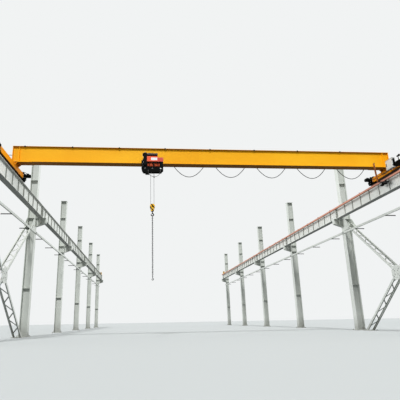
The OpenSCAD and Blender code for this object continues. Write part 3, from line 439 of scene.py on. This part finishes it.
def extruded(outline, low, high, bevel=0.0):
    """A flat outline in X and Y, given anticlockwise, carried from z = low to z = high. With a
    bevel the end outlines are drawn in by that much: each corner moves along the sum of its
    two edges' inward normals, divided by one plus their product."""
    o = np.asarray(outline, float)
    edge = np.roll(o, -1, 0) - o
    edge /= np.linalg.norm(edge, axis=1, keepdims=True)
    inward = np.stack([-edge[:, 1], edge[:, 0]], 1)
    before = np.roll(inward, 1, 0)
    drawn = o + bevel * (inward + before) / (1 + (inward * before).sum(1, keepdims=True))
    rings = [(drawn, low), (o, low + bevel), (o, high - bevel), (drawn, high)]
    rings = rings if bevel else [(o, low), (o, high)]
    points = np.concatenate([np.c_[ring, np.full(len(o), z)] for ring, z in rings])
    return points, skin(len(rings), len(o))


def pressed(low, high, bevel):
    """A plate or box between two opposite corners with every edge taken off at 45 degrees."""
    (x0, y0, z0), (x1, y1, z1), b = low, high, bevel
    corners = [(x0 + b, y0), (x1 - b, y0), (x1, y0 + b), (x1, y1 - b),
               (x1 - b, y1), (x0 + b, y1), (x0, y1 - b), (x0, y0 + b)]
    return extruded(corners, z0, z1, b)


def moved(shape, offset):
    """The shape with each point moved by the offset."""
    return shape[0] + offset, shape[1]


def stood_up(outline, low, high, bevel=0.0):
    """An outline in X and Z carried along Y: extruded, and turned by (x, y, z) to (x, -z, y)."""
    points, faces = extruded(outline, low, high, bevel)
    return points @ np.array([[1, 0, 0], [0, 0, -1], [0, 1, 0]]).T, faces


clip_side = [(-0.020, 0.0), (0.042, 0.0), (0.042, 0.010), (0.0, 0.016), (-0.020, 0.016)]
clip = joined(stood_up(clip_side, -0.032, 0.032, 0.002), moved(hex_bolt(0.016), (0.020, 0, 0.012)))
clip_y = np.arange(-18.375, 18.5, 0.75)
clips = [moved((clip[0] * [e, e, 1], clip[1]), (rail_x + e * 0.047, y, 6.3905))
         for e in (-1, 1) for y in clip_y]
piece("rail_clips", *both_sides(joined(*clips)), zinc, "runway", "zinc_steel")


# End stops: welded yellow stops with a rubber face that meets the bridge's buffers.
def mottled(name, dark, light, scale, detail, roughness, metallic=0.0):
    """A material that drifts between two colours by noise."""
    m = blank(name)
    share = noise(point_on(m), scale, detail)
    feed(m, {"Base Color": over(dark, light, share), "Roughness": roughness, "Metallic": metallic})
    return m


stop_paint = painted_steel("sprayed_enamel_yellow", "#E8B428", "#D7A327", "#9B8F70", 0.42, 0.3)
coat(stop_paint, "end_stops")
rubber = mottled("moulded_black_rubber", "#141414", "#262625", 20.0, 5.0, 0.72)
buffer_z = 6.6353
pad = turned([(0.066, 0), (0.070, 0.004), (0.070, 0.014), (0.062, 0.020), (0.030, 0.022)], 32)
pads = grid(rails_x, spread([0], 18.65), [buffer_z])
piece("stop_pads", *copied(pad, pads, -np.sign(pads) * [0, 1, 0]), rubber, "runway", "buffer_rubber", 40)

# Ties: one channel to a bay, on cleats on the columns' inner faces, with two bolts an end.
# Under it black arms of folded steel reach out between the columns, one bolt to an arm.
coat(off_white, "tie_strut_left", "tie_strut_right")
black_paint = painted_steel("stoved_black_enamel", "#060807", "#0B0D0C", "#141412", 0.55, 0.3, 0.3, sheen=0.05)
coat(black_paint, "tie_arms")
cleat_y = [y + e * d for y in column_y[1:-1] for e in (-1, 1) for d in (0.035, 0.090)]
cleat_y += [-18.86, -18.80, 18.80, 18.86]
bolts("tie_bolts", "runway", 0.016, *[
    (grid([s * 8.0], cleat_y, spread([5.01], 0.024)), (-s, 0, 0)) for s in (-1, 1)])
tie_arm_y = np.arange(15) * 2.5 - 17.5
bolts("arm_nuts", "runway", 0.012, (grid(spread([0], 8.035), tie_arm_y, [4.9665]), upward))

# Cross braces: pairs of channels laced together with flat bars, in the first bay, with the
# columns' enamel. Bolts go through the gussets at the heads and where the braces cross, and
# nuts hold the shoes down.
coat(off_white, "brace_through_left", "brace_through_right", "brace_halves_left", "brace_halves_right")
brace_slope, cross_y, cross_z = 0.85, -15.0, 2.44
gussets = [(a, b) for d in (0.17, 0.09) for a in (-d, d) for b in (-d, d)]
gussets += [(h * d, d) for h in (-1, 1) for d in 3.35 - 0.11 * np.arange(4)]
bolts("brace_bolts", "runway", 0.020, *[
    ([(x + e * half_depth, cross_y + a, cross_z + b * brace_slope)
      for x in rows_x for a, b in gussets], (e, 0, 0))
    for e in (-1, 1)])
shoes_y = spread([cross_y], 2.847)
shoes = grid(spread(rows_x, 0.205), spread(shoes_y, 0.2), [0.020])
bolts("shoe_nuts", "runway", 0.020, (shoes, upward), stub=0.02)

# Conductor rail: a copper strip in a salmon PVC cover, open below for the collector's shoe,
# on zinc hangers. The cover is matt, and black inside its slot as painted shade. Sleeves of
# the same PVC close the joints every three metres.
cover = blank("extruded_salmon_pvc")
at = point_on(cover)
conductor_x, slot_half, slot_top, cover_top = 7.63, 0.0112, 6.2962, 6.3342
aside = calc("ABSOLUTE", calc("SUBTRACT", part(at, "X"), conductor_x))
# painted shade: the inside of the slot is coloured near black
slot_shade = calc("MULTIPLY", calc("LESS_THAN", aside, slot_half), calc("LESS_THAN", part(at, "Z"), slot_top))
on_hanger = calc("GREATER_THAN", part(at, "Z"), cover_top)
pvc = over(over("#DA9A83", "#C98A74", noise(at, 1.4, 6.0)), "#1C1412", slot_shade)
feed(cover, {"Base Color": over(pvc, "#A5A7A6", on_hanger), "Metallic": calc("MULTIPLY", on_hanger, 0.8),
             "Roughness": 0.55})
coat(cover, "conductor_rail")
outer = [(0.035, 0.010), (0.038, 0.010), (0.038, 0.0735), (0.0285, 0.083)]
inner = [(0.027, 0.080), (0.035, 0.072)]
sleeve = stood_up(outer + [(-x, z) for x, z in (inner + outer)[::-1]] + inner, -0.07, 0.07)
sleeves = [moved(sleeve, (conductor_x, y, 6.254)) for y in np.arange(-16.85, 18.0, 3.0)]
piece("joint_sleeves", *joined(*sleeves), cover, "runway", "conductor_cover")

# Bridge girder: a welded box in orange-yellow two-pack paint, smooth and semi-gloss, with a
# weld along each joint of web and flange. Painted shade darkens the flanges' undersides to
# brown. Bolts hold it down on the carriages' seats.
# painted shade: what faces down is mixed most of the way to dark brown
bridge_paint = painted_steel("two_pack_orange_yellow", "#F8B61A", "#F2AA10", "#B98F45", 0.5, 0.05, 0.88,
                             sheen=0.12, grime_and_shade="#7C4406")
coat(bridge_paint, "bridge_girder")
bridge_y, girder_low_z, girder_top_z = -15.85, 6.8093, 7.4793
web_half, weld_half, flange_thick = 0.100, 7.845, 0.012
corner_z = (girder_low_z + flange_thick + 0.002, girder_top_z - flange_thick - 0.002)
corners = grid([-weld_half], spread([bridge_y], web_half), corner_z)
piece("girder_welds", *beads(corners, (2 * weld_half, 0, 0), 0.007), bridge_paint, "bridge", "bridge_paint")
seat_x = [s * x for s in (-1, 1) for x in (7.66, 7.74, 7.82)]
seats = grid(seat_x, spread([bridge_y], 0.14), [girder_low_z + flange_thick])
bolts("seat_bolts", "bridge", 0.020, (seats, upward))

# End carriages: closed welded boxes in a deeper orange of the same paint, bolted to the wheel
# blocks through plates over each joint. Painted shade turns what faces down nearly black.
carriage_paint = painted_steel("two_pack_deep_orange", "#F29C14", "#EA8E0E", "#A27A3C", 0.5, 0.2, 0.92,
                               sheen=0.12, grime_and_shade="#120E0A")
coat(carriage_paint, "end_carriage_left", "end_carriage_right")
joint_y, joint_thick = (-17.55, -14.95), 0.008
plates, plate_bolts = [], []
for face, out in ((7.725, -1), (7.975, 1)):
    outer = face + out * joint_thick
    x0, x1 = sorted((face, outer))
    plates += [pressed((x0, y - 0.07, 6.555), (x1, y + 0.07, 6.715), 0.002) for y in joint_y]
    plate_bolts.append((grid([outer], spread(joint_y, 0.042), (6.58, 6.635, 6.69)), (out, 0, 0)))
piece("joint_plates", *both_sides(joined(*plates)), carriage_paint, "bridge", "carriage_paint")
bolts("joint_bolts", "bridge", 0.014, *plate_bolts, mirrored=True)


# Wheel blocks and geared travel motors: castings and pressed covers in black stove enamel,
# with bolted bearing covers. Rubber buffers are bolted to the blocks' outer faces.
def ring(x, y, z, radius, angles):
    """Points round a line along X, (x, y + r cos a, z + r sin a), with one x or one to an angle."""
    return np.stack([x + 0 * angles, y + radius * np.cos(angles), z + radius * np.sin(angles)], 1)


def fan_guard(x, y, z, radii):
    """Wire rings round a line along X."""
    angles = np.arange(25) * np.pi / 12.5
    return [tube(ring(x, y, z, radius, angles), 0.002, 5, closed=True) for radius in radii]


coat(black_paint, "wheel_blocks", "travel_drives")
coat(rubber, "bridge_buffers")
near_y, far_y, axle_z = -17.75, -14.75, 6.5753
sixths = np.arange(6) * np.pi / 3
bolts("bearing_cover_bolts", "bridge", 0.010, *[
    (ring(rail_x + out * 0.137, y, axle_z, 0.050, sixths), (out, 0, 0))
    for y, out in ((near_y, -1), (near_y, 1), (far_y, 1))], mirrored=True)
case_bolts = [(7.655, far_y + e * a, z) for a, z in ((0.062, 6.505), (0.078, 6.60), (0.045, 6.75))
              for e in (-1, 1)]
bolts("gear_case_bolts", "bridge", 0.012, (case_bolts, (-1, 0, 0)), mirrored=True)
bolts("buffer_bolts", "bridge", 0.014, *[
    (grid(spread(rails_x, 0.057), [y], spread([buffer_z], 0.057)), (0, e, 0))
    for y, e in ((-17.964, -1), (-14.536, 1))])
travel_fan = fan_guard(7.4485, far_y, 6.6753, (0.016, 0.030, 0.044))
lid = pressed((7.530, far_y - 0.042, 6.779), (7.630, far_y + 0.042, 6.787), 0.002)
piece("travel_motor_trim", *both_sides(joined(*travel_fan, lid)), black_paint, "bridge", "black_paint")

# Wheels: cast iron, mottled between two dark greys.
iron = mottled("machined_cast_iron", "#343435", "#545351", 60.0, 4.0, 0.42, 0.8)
coat(iron, "wheel_left_near", "wheel_left_far", "wheel_right_near", "wheel_right_far",
     "trolley_rollers", "block_sheaves")


# Control cabinet: folded sheet steel with a light grey textured powder coat. Its door is hung
# on two pins and has a swing handle. Cables enter through glands below, and a black grille,
# put there as painted shade, covers the side that faces away from the girder.
def slats(low, high, heights, thick):
    """Level slats between the corners (x, y) low and high, one at each height."""
    return [pressed((*low, z), (*high, z + thick), 0.002) for z in heights]


cabinet_paint = painted_steel("powder_coat_light_grey", "#D2D5D3", "#C9CCCA", "#A5A59C", 0.5, 0.1, 0.4)
coat(cabinet_paint, "control_cabinet")
door_x, cab_near, cab_far, cab_low, cab_high, door_rim = 7.489, -16.70, -16.27, 6.535, 6.940, 0.030
door = pressed((door_x - 0.003, cab_near + door_rim, cab_low + door_rim),
               (door_x + 0.001, cab_far - door_rim, cab_high - door_rim), 0.0015)
hood = pressed((door_x - 0.012, cab_near - 0.012, cab_high - 0.001),
               (7.627, cab_far + 0.012, cab_high + 0.006), 0.002)
piece("cabinet_trim", *joined(door, hood), cabinet_paint, "bridge", "cabinet_paint")
hinge = turned([(0.006, 0), (0.008, 0.002), (0.008, 0.058), (0.006, 0.060)], 16)
hinges = [moved(hinge, (door_x + 0.006, cab_near + 0.006, z)) for z in (6.60, 6.82)]
handle = pressed((door_x - 0.020, cab_far - 0.064, 6.690), (door_x - 0.002, cab_far - 0.040, 6.810), 0.004)
gland = turned([(0.016, 0), (0.016, 0.010), (0.012, 0.012), (0.012, 0.026), (0.008, 0.030)], 12)
feed_x, feed_z = 7.575, (6.575, 6.635)
low_glands = copied(gland, grid([7.56], (-16.62, -16.55, -16.48, -16.41), [cab_low]), (0, 0, -1))
far_glands = copied(gland, grid([feed_x], [cab_far], feed_z), (0, 1, 0))
# painted shade: black slats and a frame over the side that faces away from the girder
shade_grille_slats = slats((7.515, cab_near - 0.014), (7.605, cab_near - 0.002), np.arange(6.58, 6.90, 0.020), 0.012)
shade_grille_frame = pressed((7.510, cab_near - 0.006, 6.570), (7.610, cab_near + 0.001, 6.905), 0.001)
piece("cabinet_fittings", *joined(*hinges, handle, low_glands, far_glands, *shade_grille_slats, shade_grille_frame),
      black_paint, "bridge", "black_paint")

# Resistor box: black sheet steel with louvres over the braking resistors, and a horn on top.
coat(black_paint, "resistor_box")
box_near, box_far, louvre_z = -17.06, -16.77, np.arange(6.550, 6.700, 0.018)
louvres = slats((7.537, box_near + 0.020), (7.546, box_far - 0.020), louvre_z, 0.009)
louvres += slats((7.560, box_near - 0.008), (7.680, box_near + 0.001), louvre_z, 0.009)
piece("resistor_louvres", *joined(*louvres), black_paint, "bridge", "black_paint")

# Current collector: a bolted post in a dark orange under the girder, with painted shade on what
# faces down and a black arm at its foot, carries two sprung shoes that slide in the conductor's
# slot. Its cable is tied to the post.
post_paint = painted_steel("two_pack_dark_orange", "#A85C16", "#8E4A12", "#4A2F18", 0.5, 0.5, 0.6, sheen=0.25)
arm_top = 6.13
recoat(post_paint, "#0E0F10", calc("LESS_THAN", part(point_on(post_paint), "Z"), arm_top))
coat(post_paint, "collector_arm")
coat(black_paint, "current_collector")
bolts("post_bolts", "bridge", 0.014, (grid([7.118], [-16.071], (6.87, 6.92)), frontward))


def bent(corners, count):
    """A smooth line through the corners: between two of them it is the cubic whose slopes at
    both ends are half the step between their neighbours."""
    c = np.asarray(corners, float)
    c = np.concatenate([2 * c[:1] - c[1:2], c, 2 * c[-1:] - c[-2:-1]])
    u = np.linspace(0, 1, count, endpoint=False)[None, :, None]
    a, b, d, e = (c[i:len(c) - 3 + i, None] for i in range(4))
    line = 0.5 * (2 * b + (d - a) * u + (2 * a - 5 * b + 4 * d - e) * u ** 2 + (3 * b - a - 3 * d + e) * u ** 3)
    return np.concatenate([line.reshape(-1, 3), c[-2:-1]])


sheath = mottled("black_cable_sheath", "#17181A", "#2A2C2E", 40.0, 5.0, 0.5)
tied = bent([(7.60, -16.058, 6.158), (7.45, -16.062, 6.138), (7.22, -16.075, 6.132), (7.165, -16.077, 6.20),
             (7.15, -16.077, 6.40), (7.125, -16.077, 6.68), (7.11, -16.077, 6.90), (7.13, -16.060, 6.97),
             (7.20, -16.010, 6.99), (7.22, -15.958, 6.99)], 8)
piece("collector_lead", *tube(tied, 0.007, 8), sheath, "bridge", "cable_sheath", 60)
ties = [pressed((x - 0.012, -16.088, z), (x + 0.012, -16.069, z + 0.01), 0.002)
        for x, z in ((7.158, 6.24), (7.124, 6.44), (7.090, 6.64))]
piece("cable_ties", *joined(*ties), black_paint, "bridge", "black_paint")

# Bridge wiring: a conduit clipped along the back of the girder and over the left carriage
# joins a junction box to the left travel motor. Others run from the box and from the right
# motor to the cabinet.
spine = [(7.31, -15.737, 7.15), (7.20, -15.737, 7.19), (7.0, -15.737, 7.20), (-7.20, -15.737, 7.20),
         (-7.44, -15.737, 7.20), (-7.52, -15.715, 7.14), (-7.555, -15.655, 7.06), (-7.62, -15.640, 6.94),
         (-7.71, -15.602, 6.84), (-7.75, -15.57, 6.78), (-7.76, -15.50, 6.756), (-7.76, -15.12, 6.756),
         (-7.74, -15.04, 6.760), (-7.69, -14.99, 6.770), (-7.64, -14.93, 6.772), (-7.60, -14.87, 6.762),
         (-7.585, -14.79, 6.75)]
box_feed = [(7.45, -15.737, 7.15), (7.52, -15.715, 7.12), (7.555, -15.655, 7.04), (7.62, -15.640, 6.93),
            (7.675, -15.610, 6.84), (7.702, -15.600, 6.75), (7.709, -15.605, 6.66), (7.711, -15.68, 6.605),
            (7.711, -16.06, 6.600), (7.68, -16.16, 6.590), (7.60, -16.21, 6.578), (feed_x, -16.25, 6.575)]
motor_feed = [(7.585, -14.79, 6.75), (7.60, -14.87, 6.72), (7.66, -14.95, 6.66), (7.711, -15.10, 6.635),
              (7.711, -16.06, 6.635), (7.68, -16.16, 6.636), (7.60, -16.21, 6.636), (feed_x, -16.25, 6.635)]
conduits = [tube(bent(route, 6), 0.009, 10) for route in (spine, box_feed, motor_feed)]
piece("wiring_conduit", *joined(*conduits), sheath, "bridge", "cable_sheath", 60)
straps = [pressed((x - 0.010, -15.750, 7.178), (x + 0.010, -15.726, 7.222), 0.003)
          for x in np.arange(-7.0, 7.1, 1.0)]
straps += [pressed((7.699, y - 0.010, z0), (7.725, y + 0.010, 6.648), 0.003)
           for y, z0 in ((-15.25, 6.620), (-15.92, 6.586))]
straps += [pressed((-7.775, y - 0.010, 6.744), (-7.745, y + 0.010, 6.769), 0.003) for y in (-15.45, -15.15)]
piece("conduit_clips", *joined(*straps), zinc, "bridge", "zinc_steel")
box = joined(pressed((7.30, -15.751, 7.06), (7.46, -15.690, 7.24), 0.004),
             pressed((7.294, -15.692, 7.054), (7.466, -15.682, 7.246), 0.003))
piece("junction_box", *box, cabinet_paint, "bridge", "cabinet_paint")

# Cable supply: a galvanised C-track behind the girder, held by arms clamped over its top
# flange, with four cable trolleys and a fixed clamp. The cables hang in five loops.
coat(zinc, "festoon_track", "festoon_carrier_1", "festoon_carrier_2", "festoon_carrier_3", "festoon_carrier_4")
arm_x = 0.09 + 1.87 * np.arange(-4, 4)
track_y, track_top = -15.63, 7.407
arm_front, arm_back, hook_low = -16.045, track_y + 0.020, girder_top_z - 0.034
arm_parts = [((arm_front, girder_top_z), (arm_back, girder_top_z + 0.010)),
             ((arm_front, hook_low), (-16.030, girder_top_z + 0.001)),
             ((-16.031, hook_low), (-15.998, hook_low + 0.010)),
             ((track_y + 0.010, track_top - 0.001), (arm_back, girder_top_z + 0.001))]
arms = [pressed((x - 0.025, *low), (x + 0.025, *high), 0.002) for x in arm_x for low, high in arm_parts]
piece("track_arms", *joined(*arms), black_paint, "bridge", "black_paint")
bolts("track_arm_bolts", "bridge", 0.014, (grid(arm_x, (-16.013, -15.70), [girder_top_z + 0.010]), upward),
      finish=(black_paint, "black_paint"))
tow_x, clamp_x = -1.65, 7.175
pitch_x = (clamp_x - tow_x) / 5
for k in range(1, 5):
    x = tow_x + k * pitch_x
    jaw = [pressed((x - 0.030, track_y + y0, 7.290), (x + 0.030, track_y + y1, 7.316), 0.002)
           for y0, y1 in ((-0.024, -0.017), (0.017, 0.024))]
    jaw.append(copied(hex_bolt(0.007), grid(spread([x], 0.018), [track_y - 0.024], [7.303]), frontward))
    piece(f"cable_jaw_{k}", *joined(*jaw), zinc, f"carrier_{k}", "zinc_steel")
cable_low, cable_top = (corner[2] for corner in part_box("festoon_cable"))
cable_r, knots = 0.013, 35
for k in range(5):
    x0 = tow_x + k * pitch_x + 0.015
    x1 = tow_x + (k + 1) * pitch_x - 0.015
    s = np.linspace(-1, 1, knots)
    low_z = cable_low + cable_r
    hang = [(x0 + x1) / 2 + s * (x1 - x0) / 2, np.full(knots, track_y),
            low_z + (cable_top - 0.025 - low_z) * s ** 2]
    route = np.concatenate([[(x0, track_y, cable_top)], np.stack(hang, 1), [(x1, track_y, cable_top)]])
    loop = piece(f"cable_loop_{k + 1}", *tube(route, cable_r, 12), sheath, None, "cable_sheath", 60)
    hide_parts("festoon_cable")
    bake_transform(loop)

# Hoist trolley: black side plates on four flanged rollers, joined by cross rods below the
# girder's flange. Nuts hold the rods and the rollers' axles, and a box on the far side
# balances the hoist.
coat(black_paint, "trolley_frame", "counterweight")
hoist_x, load_y, near_face = -2.32, -16.30, -16.061
axles = copied(hex_bolt(0.030, 0.012), grid(spread([hoist_x], 0.27), [near_face], [6.8816]), frontward)
rods = copied(hex_bolt(0.024, 0.010), grid((-2.62, -2.07), [near_face], [6.6993]), frontward)
piece("trolley_nuts", *joined(axles, rods), zinc, "hoist", "zinc_steel")
bolts("weight_box_bolts", "hoist", 0.014, (grid((-2.60, -2.32, -2.04), [-15.449], (6.70, 6.91)), (0, 1, 0)))

# Hoist frame: black welded plates with three pins for the upper sheaves. Dull steel caps are
# screwed on two pins and a bright zinc one on the third, bolts run along the front plate, and
# a switch box hangs under its left end.
coat(black_paint, "hoist_frame")
coat(iron, "limit_bail")
pin_z, front, leftward = 6.3453, -16.606, (-1, 0, 0)
cap = turned([(0.031, 0), (0.032, 0.002), (0.030, 0.007), (0.012, 0.009), (0.010, 0.013)], 32)
pins = grid((-2.605, -2.32, -1.998), [front - 0.014], [pin_z])
piece("pin_caps", *copied(cap, pins[:2], frontward), iron, "hoist", "wheel_iron", 40)
piece("bright_pin_cap", *copied(cap, pins[2:], frontward), zinc, "hoist", "zinc_steel", 40)
edge_bolts = grid((-2.68, -2.50, -2.44, -2.20, -2.14, -1.94), [front], (6.235, 6.41))
bolts("front_plate_bolts", "hoist", 0.014, (edge_bolts, frontward), finish=(black_paint, "black_paint"))
switch = joined(pressed((-2.590, front, 6.125), (-2.440, -16.500, 6.196), 0.006),
                pressed((-2.560, front, 6.190), (-2.470, front + 0.012, 6.2053), 0.002),
                pressed((-2.583, front - 0.006, 6.131), (-2.447, front + 0.002, 6.190), 0.002),
                copied(gland, [(-2.590, -16.555, 6.160)], leftward))
piece("limit_switch_box", *switch, black_paint, "hoist", "black_paint")

# Rope drum: red-orange stove enamel on a grooved casting. The last turns of rope lie in its
# end grooves, and one fall leads up to it past the sheave.
# painted shade darkens what faces down on the drum and its guide ring
hoist_red = painted_steel("stoved_red_orange_enamel", "#E6663A", "#DB5A32", "#7C4434", 0.42, 0.12, 0.85,
                          sheen=0.3)
coat(hoist_red, "rope_drum")
wire = blank("greased_wire_rope")
lay = add(wire.node_tree, "ShaderNodeTexWave", {"Scale": 55.0, "bands_direction": "DIAGONAL"},
          {"Vector": point_on(wire)}, "Fac")
feed(wire, {"Base Color": over("#1C1C1D", "#4C4C4E", lay), "Metallic": 0.55, "Roughness": 0.5})
drum_y, drum_z, drum_r, groove, rope_r = -16.42, 6.5593, 0.108, 0.0202, 0.005
wound = np.linspace(0, 2, 49)
wraps = [tube(ring(x0 + groove * wound, drum_y, drum_z, drum_r + 0.002, 2 * np.pi * wound), rope_r, 6)
         for x0 in (-2.474 + 0.5 * groove, -2.070 - 2.5 * groove)]
piece("rope_wraps", *joined(*wraps), wire, "drum", "wire_rope", 60)
lead = bent([(-2.255, -16.32, 6.345), (-2.255, -16.319, 6.42), (-2.256, -16.313, 6.50),
             (-2.257, -16.310, 6.555)], 6)
piece("lead_rope", *tube(lead, rope_r, 8), wire, "hoist", "wire_rope", 60)
socket = turned([(0.006, 0), (0.012, 0.006), (0.016, 0.050), (0.014, 0.058)], 16)
piece("rope_socket", *copied(socket, [(-2.385, -16.28, 6.350)], upward), iron, "hoist", "wheel_iron", 40)
guide, _ = turned([(0.117, -0.016), (0.128, -0.016), (0.128, 0.016), (0.117, 0.016)], 40)
guide_ring = copied((guide, skin(4, 40, closed=True)), [(-2.375, drum_y, drum_z)], (1, 0, 0))
piece("rope_guide_ring", *guide_ring, hoist_red, "hoist", "hoist_paint", 40)

# Motor and gearbox: a finned motor in blue-black enamel with a fan cowl, a terminal box and an
# eye bolt, on a black cast gearbox with bolted caps, an oil plug and a breather.
motor_paint = painted_steel("stoved_blue_black_enamel", "#14171F", "#1C2029", "#2C2D2F", 0.34, 0.3, 0.4,
                            sheen=0.4)
coat(motor_paint, "hoist_motor")
coat(black_paint, "hoist_gearbox")
motor_y, motor_z = -16.41, 7.0153
bolts("gearbox_bolts", "hoist", 0.010,
      (ring(-2.705, drum_y, drum_z, 0.074, np.arange(8) * np.pi / 4), leftward),
      (ring(-2.700, motor_y, motor_z, 0.050, sixths), leftward),
      (ring(-2.690, -16.46, 6.7873, 0.034, sixths[::2]), leftward))
breather = turned([(0.010, 0), (0.010, 0.012), (0.017, 0.014), (0.017, 0.030), (0.012, 0.036)], 16)
plug = turned([(0.020, 0), (0.020, 0.006), (0.014, 0.008), (0.013, 0.018)], 16)
plugs = joined(copied(breather, [(-2.60, motor_y, 7.0995)], upward),
               copied(plug, [(-2.6645, -16.47, 6.68), (-2.6645, -16.42, 6.90)], leftward))
piece("gearbox_plugs", *plugs, zinc, "hoist", "zinc_steel", 40)
motor_fan = fan_guard(-2.1085, motor_y, motor_z, (0.018, 0.032, 0.046, 0.058))
loop_a = np.linspace(-0.3, np.pi + 0.3, 14)
eye_line = [-2.30 + 0.018 * np.cos(loop_a), np.full(14, motor_y), motor_z + 0.078 + 0.018 * np.sin(loop_a)]
trim = joined(*motor_fan, tube(np.stack(eye_line, 1), 0.005, 8),
              pressed((-2.475, -16.394, 7.095), (-2.355, -16.306, 7.103), 0.002),
              copied(gland, [(-2.362, -16.35, 7.06)], (1, 0, 0)))
piece("motor_trim", *trim, motor_paint, "hoist", "black_paint", 40)
motor_lead = bent([(-2.36, -16.35, 7.06), (-2.335, -16.345, 7.055), (-2.30, -16.325, 7.02),
                   (-2.29, -16.318, 6.93), (-2.29, -16.30, 6.872)], 8)
piece("motor_lead", *tube(motor_lead, 0.007, 8), sheath, "hoist", "cable_sheath", 60)

# Hoist cover: bright red-orange sheet over the electrics, its right half darker and pinker as
# painted shade and painted reflection, and black on what faces down as painted shade, with a hem
# along the foot, screws at the corners, and a blank white plate where the name would be.
cover_red = painted_steel("stoved_coral_enamel", "#EE5F38", "#E65532", "#7C4434", 0.42, 0.08, 1.0, sheen=0.2,
                          grime_and_shade="#0C0A09")
# painted shade and painted reflection: the right half is multiplied darker and pinker
right_half_shade = calc("GREATER_THAN", part(point_on(cover_red), "X"), -2.1082)
recoat(cover_red, (0.72, 0.74, 1.45, 1.0), right_half_shade, "MULTIPLY")
coat(cover_red, "hoist_panel")
cover_low, cover_front = 6.6443, -16.62
hems = [tube([(x, cover_front + y, cover_low + 0.006) for x in ends], 0.006, 8)
        for y, ends in ((-0.001, (-2.529, -2.109)), (0.011, (-2.107, -1.895)))]
piece("cover_hem", *joined(*hems), cover_red, "hoist", "hoist_paint", 60)
white = painted_steel("enamelled_white_plate", "#EDF0F3", "#E4E8EC", "#C9CCCF", 0.3, 0.1, 0.0)
plate_front = cover_front - 0.0025
plate = pressed((-2.375, plate_front, 6.697), (-2.130, cover_front + 0.0005, 6.808), 0.001)
piece("blank_plate", *plate, white, "hoist", "cabinet_paint")
screw = turned([(0.006, 0), (0.0055, 0.002), (0.003, 0.003)], 12)
screws = np.concatenate([grid((-2.515, -2.123), [cover_front], (6.668, 6.835)),
                         grid((-2.094, -1.909), [cover_front + 0.012], (6.668, 6.790)),
                         grid((-2.368, -2.137), [plate_front], (6.704, 6.801))])
piece("cover_screws", *copied(screw, screws, frontward), zinc, "hoist", "zinc_steel", 40)

# Ropes: greased steel wire rope in four falls, which stretch between the hoist and the block.
# Each is drawn with six strands, laid a little coarser than real so that they show.
coat(wire, "rope_bights")
block_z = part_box("rope_falls")[0][2]


def laid_rope(x, y, low, high, radius, lay_length):
    """A rope along Z: its radius swells by an eighth at six strands, at
    r (1 + cos(6 (a - 2 pi z / lay)) / 8), so that the strands wind up it."""
    rows, sides = int((high - low) / lay_length * 8) + 1, 18
    z = np.linspace(low, high, rows)[:, None]
    a = np.arange(sides) * 2 * np.pi / sides
    r = radius / 1.125 * (1 + np.cos(6 * (a - 2 * np.pi * z / lay_length)) / 8)
    points = np.stack([x + r * np.cos(a), y + r * np.sin(a), z + 0 * r], 2)
    return points.reshape(-1, 3), skin(rows, sides)


falls = [laid_rope(x, y, block_z, pin_z, 0.0055, 0.11)
         for x in spread([hoist_x], 0.065) for y in spread([load_y], 0.020)]
ropes = piece("rope_falls_laid", *joined(*falls), wire, None, "wire_rope", 60)
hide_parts("rope_falls")
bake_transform(ropes)

# Hook block: pressed cheeks in yellow enamel with black slanted bands, worn to grey steel in
# small patches, on a pin with a black cap and two tie bolts below.
bands = blank("yellow_enamel_black_bands")
at = point_on(bands)
on_block = add(bands.node_tree, "ShaderNodeMapping", {"Location": (-hoist_x, -load_y, -block_z)},
               {"Vector": at})
slant = calc("ADD", part(on_block, "X"), calc("MULTIPLY", part(on_block, "Z"), 0.8))
band_pitch, band_start, yellow_share = 0.135, 0.63, 0.58
band = calc("FRACT", calc("MULTIPLY_ADD", slant, 1 / band_pitch, band_start))
banded = over("#F3BA20", "#0C0D0D", calc("GREATER_THAN", band, yellow_share))
worn = over(banded, "#5E5A54", ramp(noise(at, 26.0, 8.0, 0.7), 0.64, 0.70, high=0.8))
feed(bands, {"Base Color": worn, "Roughness": 0.5, "Specular IOR Level": 0.15})
coat(bands, "block_cheeks")
coat(black_paint, "block_crosshead", "lifting_hook", "sling_hook")
end_cap = turned([(0.026, 0), (0.026, 0.006), (0.022, 0.009), (0.010, 0.010)], 24)
end_caps = [copied(end_cap, [(hoist_x, load_y + e * 0.065, block_z)], (0, e, 0)) for e in (-1, 1)]
piece("block_pin_caps", *joined(*end_caps), black_paint, "hook_block", "black_paint", 40)
bolts("block_bolts", "hook_block", 0.012, *[
    (grid(spread([hoist_x], 0.032), [load_y + e * 0.057], [block_z - 0.112]), (0, e, 0)) for e in (-1, 1)])

# Hooks and chain: forged hooks in black enamel with sprung steel latches, and a single chain
# of round welded links, dark with oil and mottled.
chain_steel = mottled("oiled_chain_steel", "#1B1B1C", "#434341", 22.0, 5.0, 0.45, 0.7)
coat(chain_steel, "sling_chain")


def latch(x, y, z, run, drop, wide, thick):
    """A sprung latch: a strip that leaves (x, z), bows by a sixth of its run and ends run to
    the left and drop below, wide in Y. Its edge line is doubled at a distance of thick."""
    u = np.linspace(0, 1, 9)
    line = np.stack([x - run * u, z - drop * u - run / 6 * np.sin(np.pi * u)], 1)
    t = np.gradient(line, axis=0)
    t /= np.linalg.norm(t, axis=1, keepdims=True)
    back = line + thick * np.stack([t[:, 1], -t[:, 0]], 1)
    outline = np.concatenate([line, back[::-1]])
    area = (outline[:, 0] * np.roll(outline[:, 1], -1) - np.roll(outline[:, 0], -1) * outline[:, 1]).sum()
    outline = outline if area > 0 else outline[::-1]
    return moved(stood_up(outline, -wide / 2, wide / 2), (0, y, 0))


piece("hook_latch", *latch(-2.337, load_y, 4.652, 0.030, 0.062, 0.020, 0.003), zinc, "hook", "zinc_steel")
piece("sling_hook_latch", *latch(-2.329, load_y, 2.152, 0.019, 0.040, 0.013, 0.002), zinc, "hook", "zinc_steel")
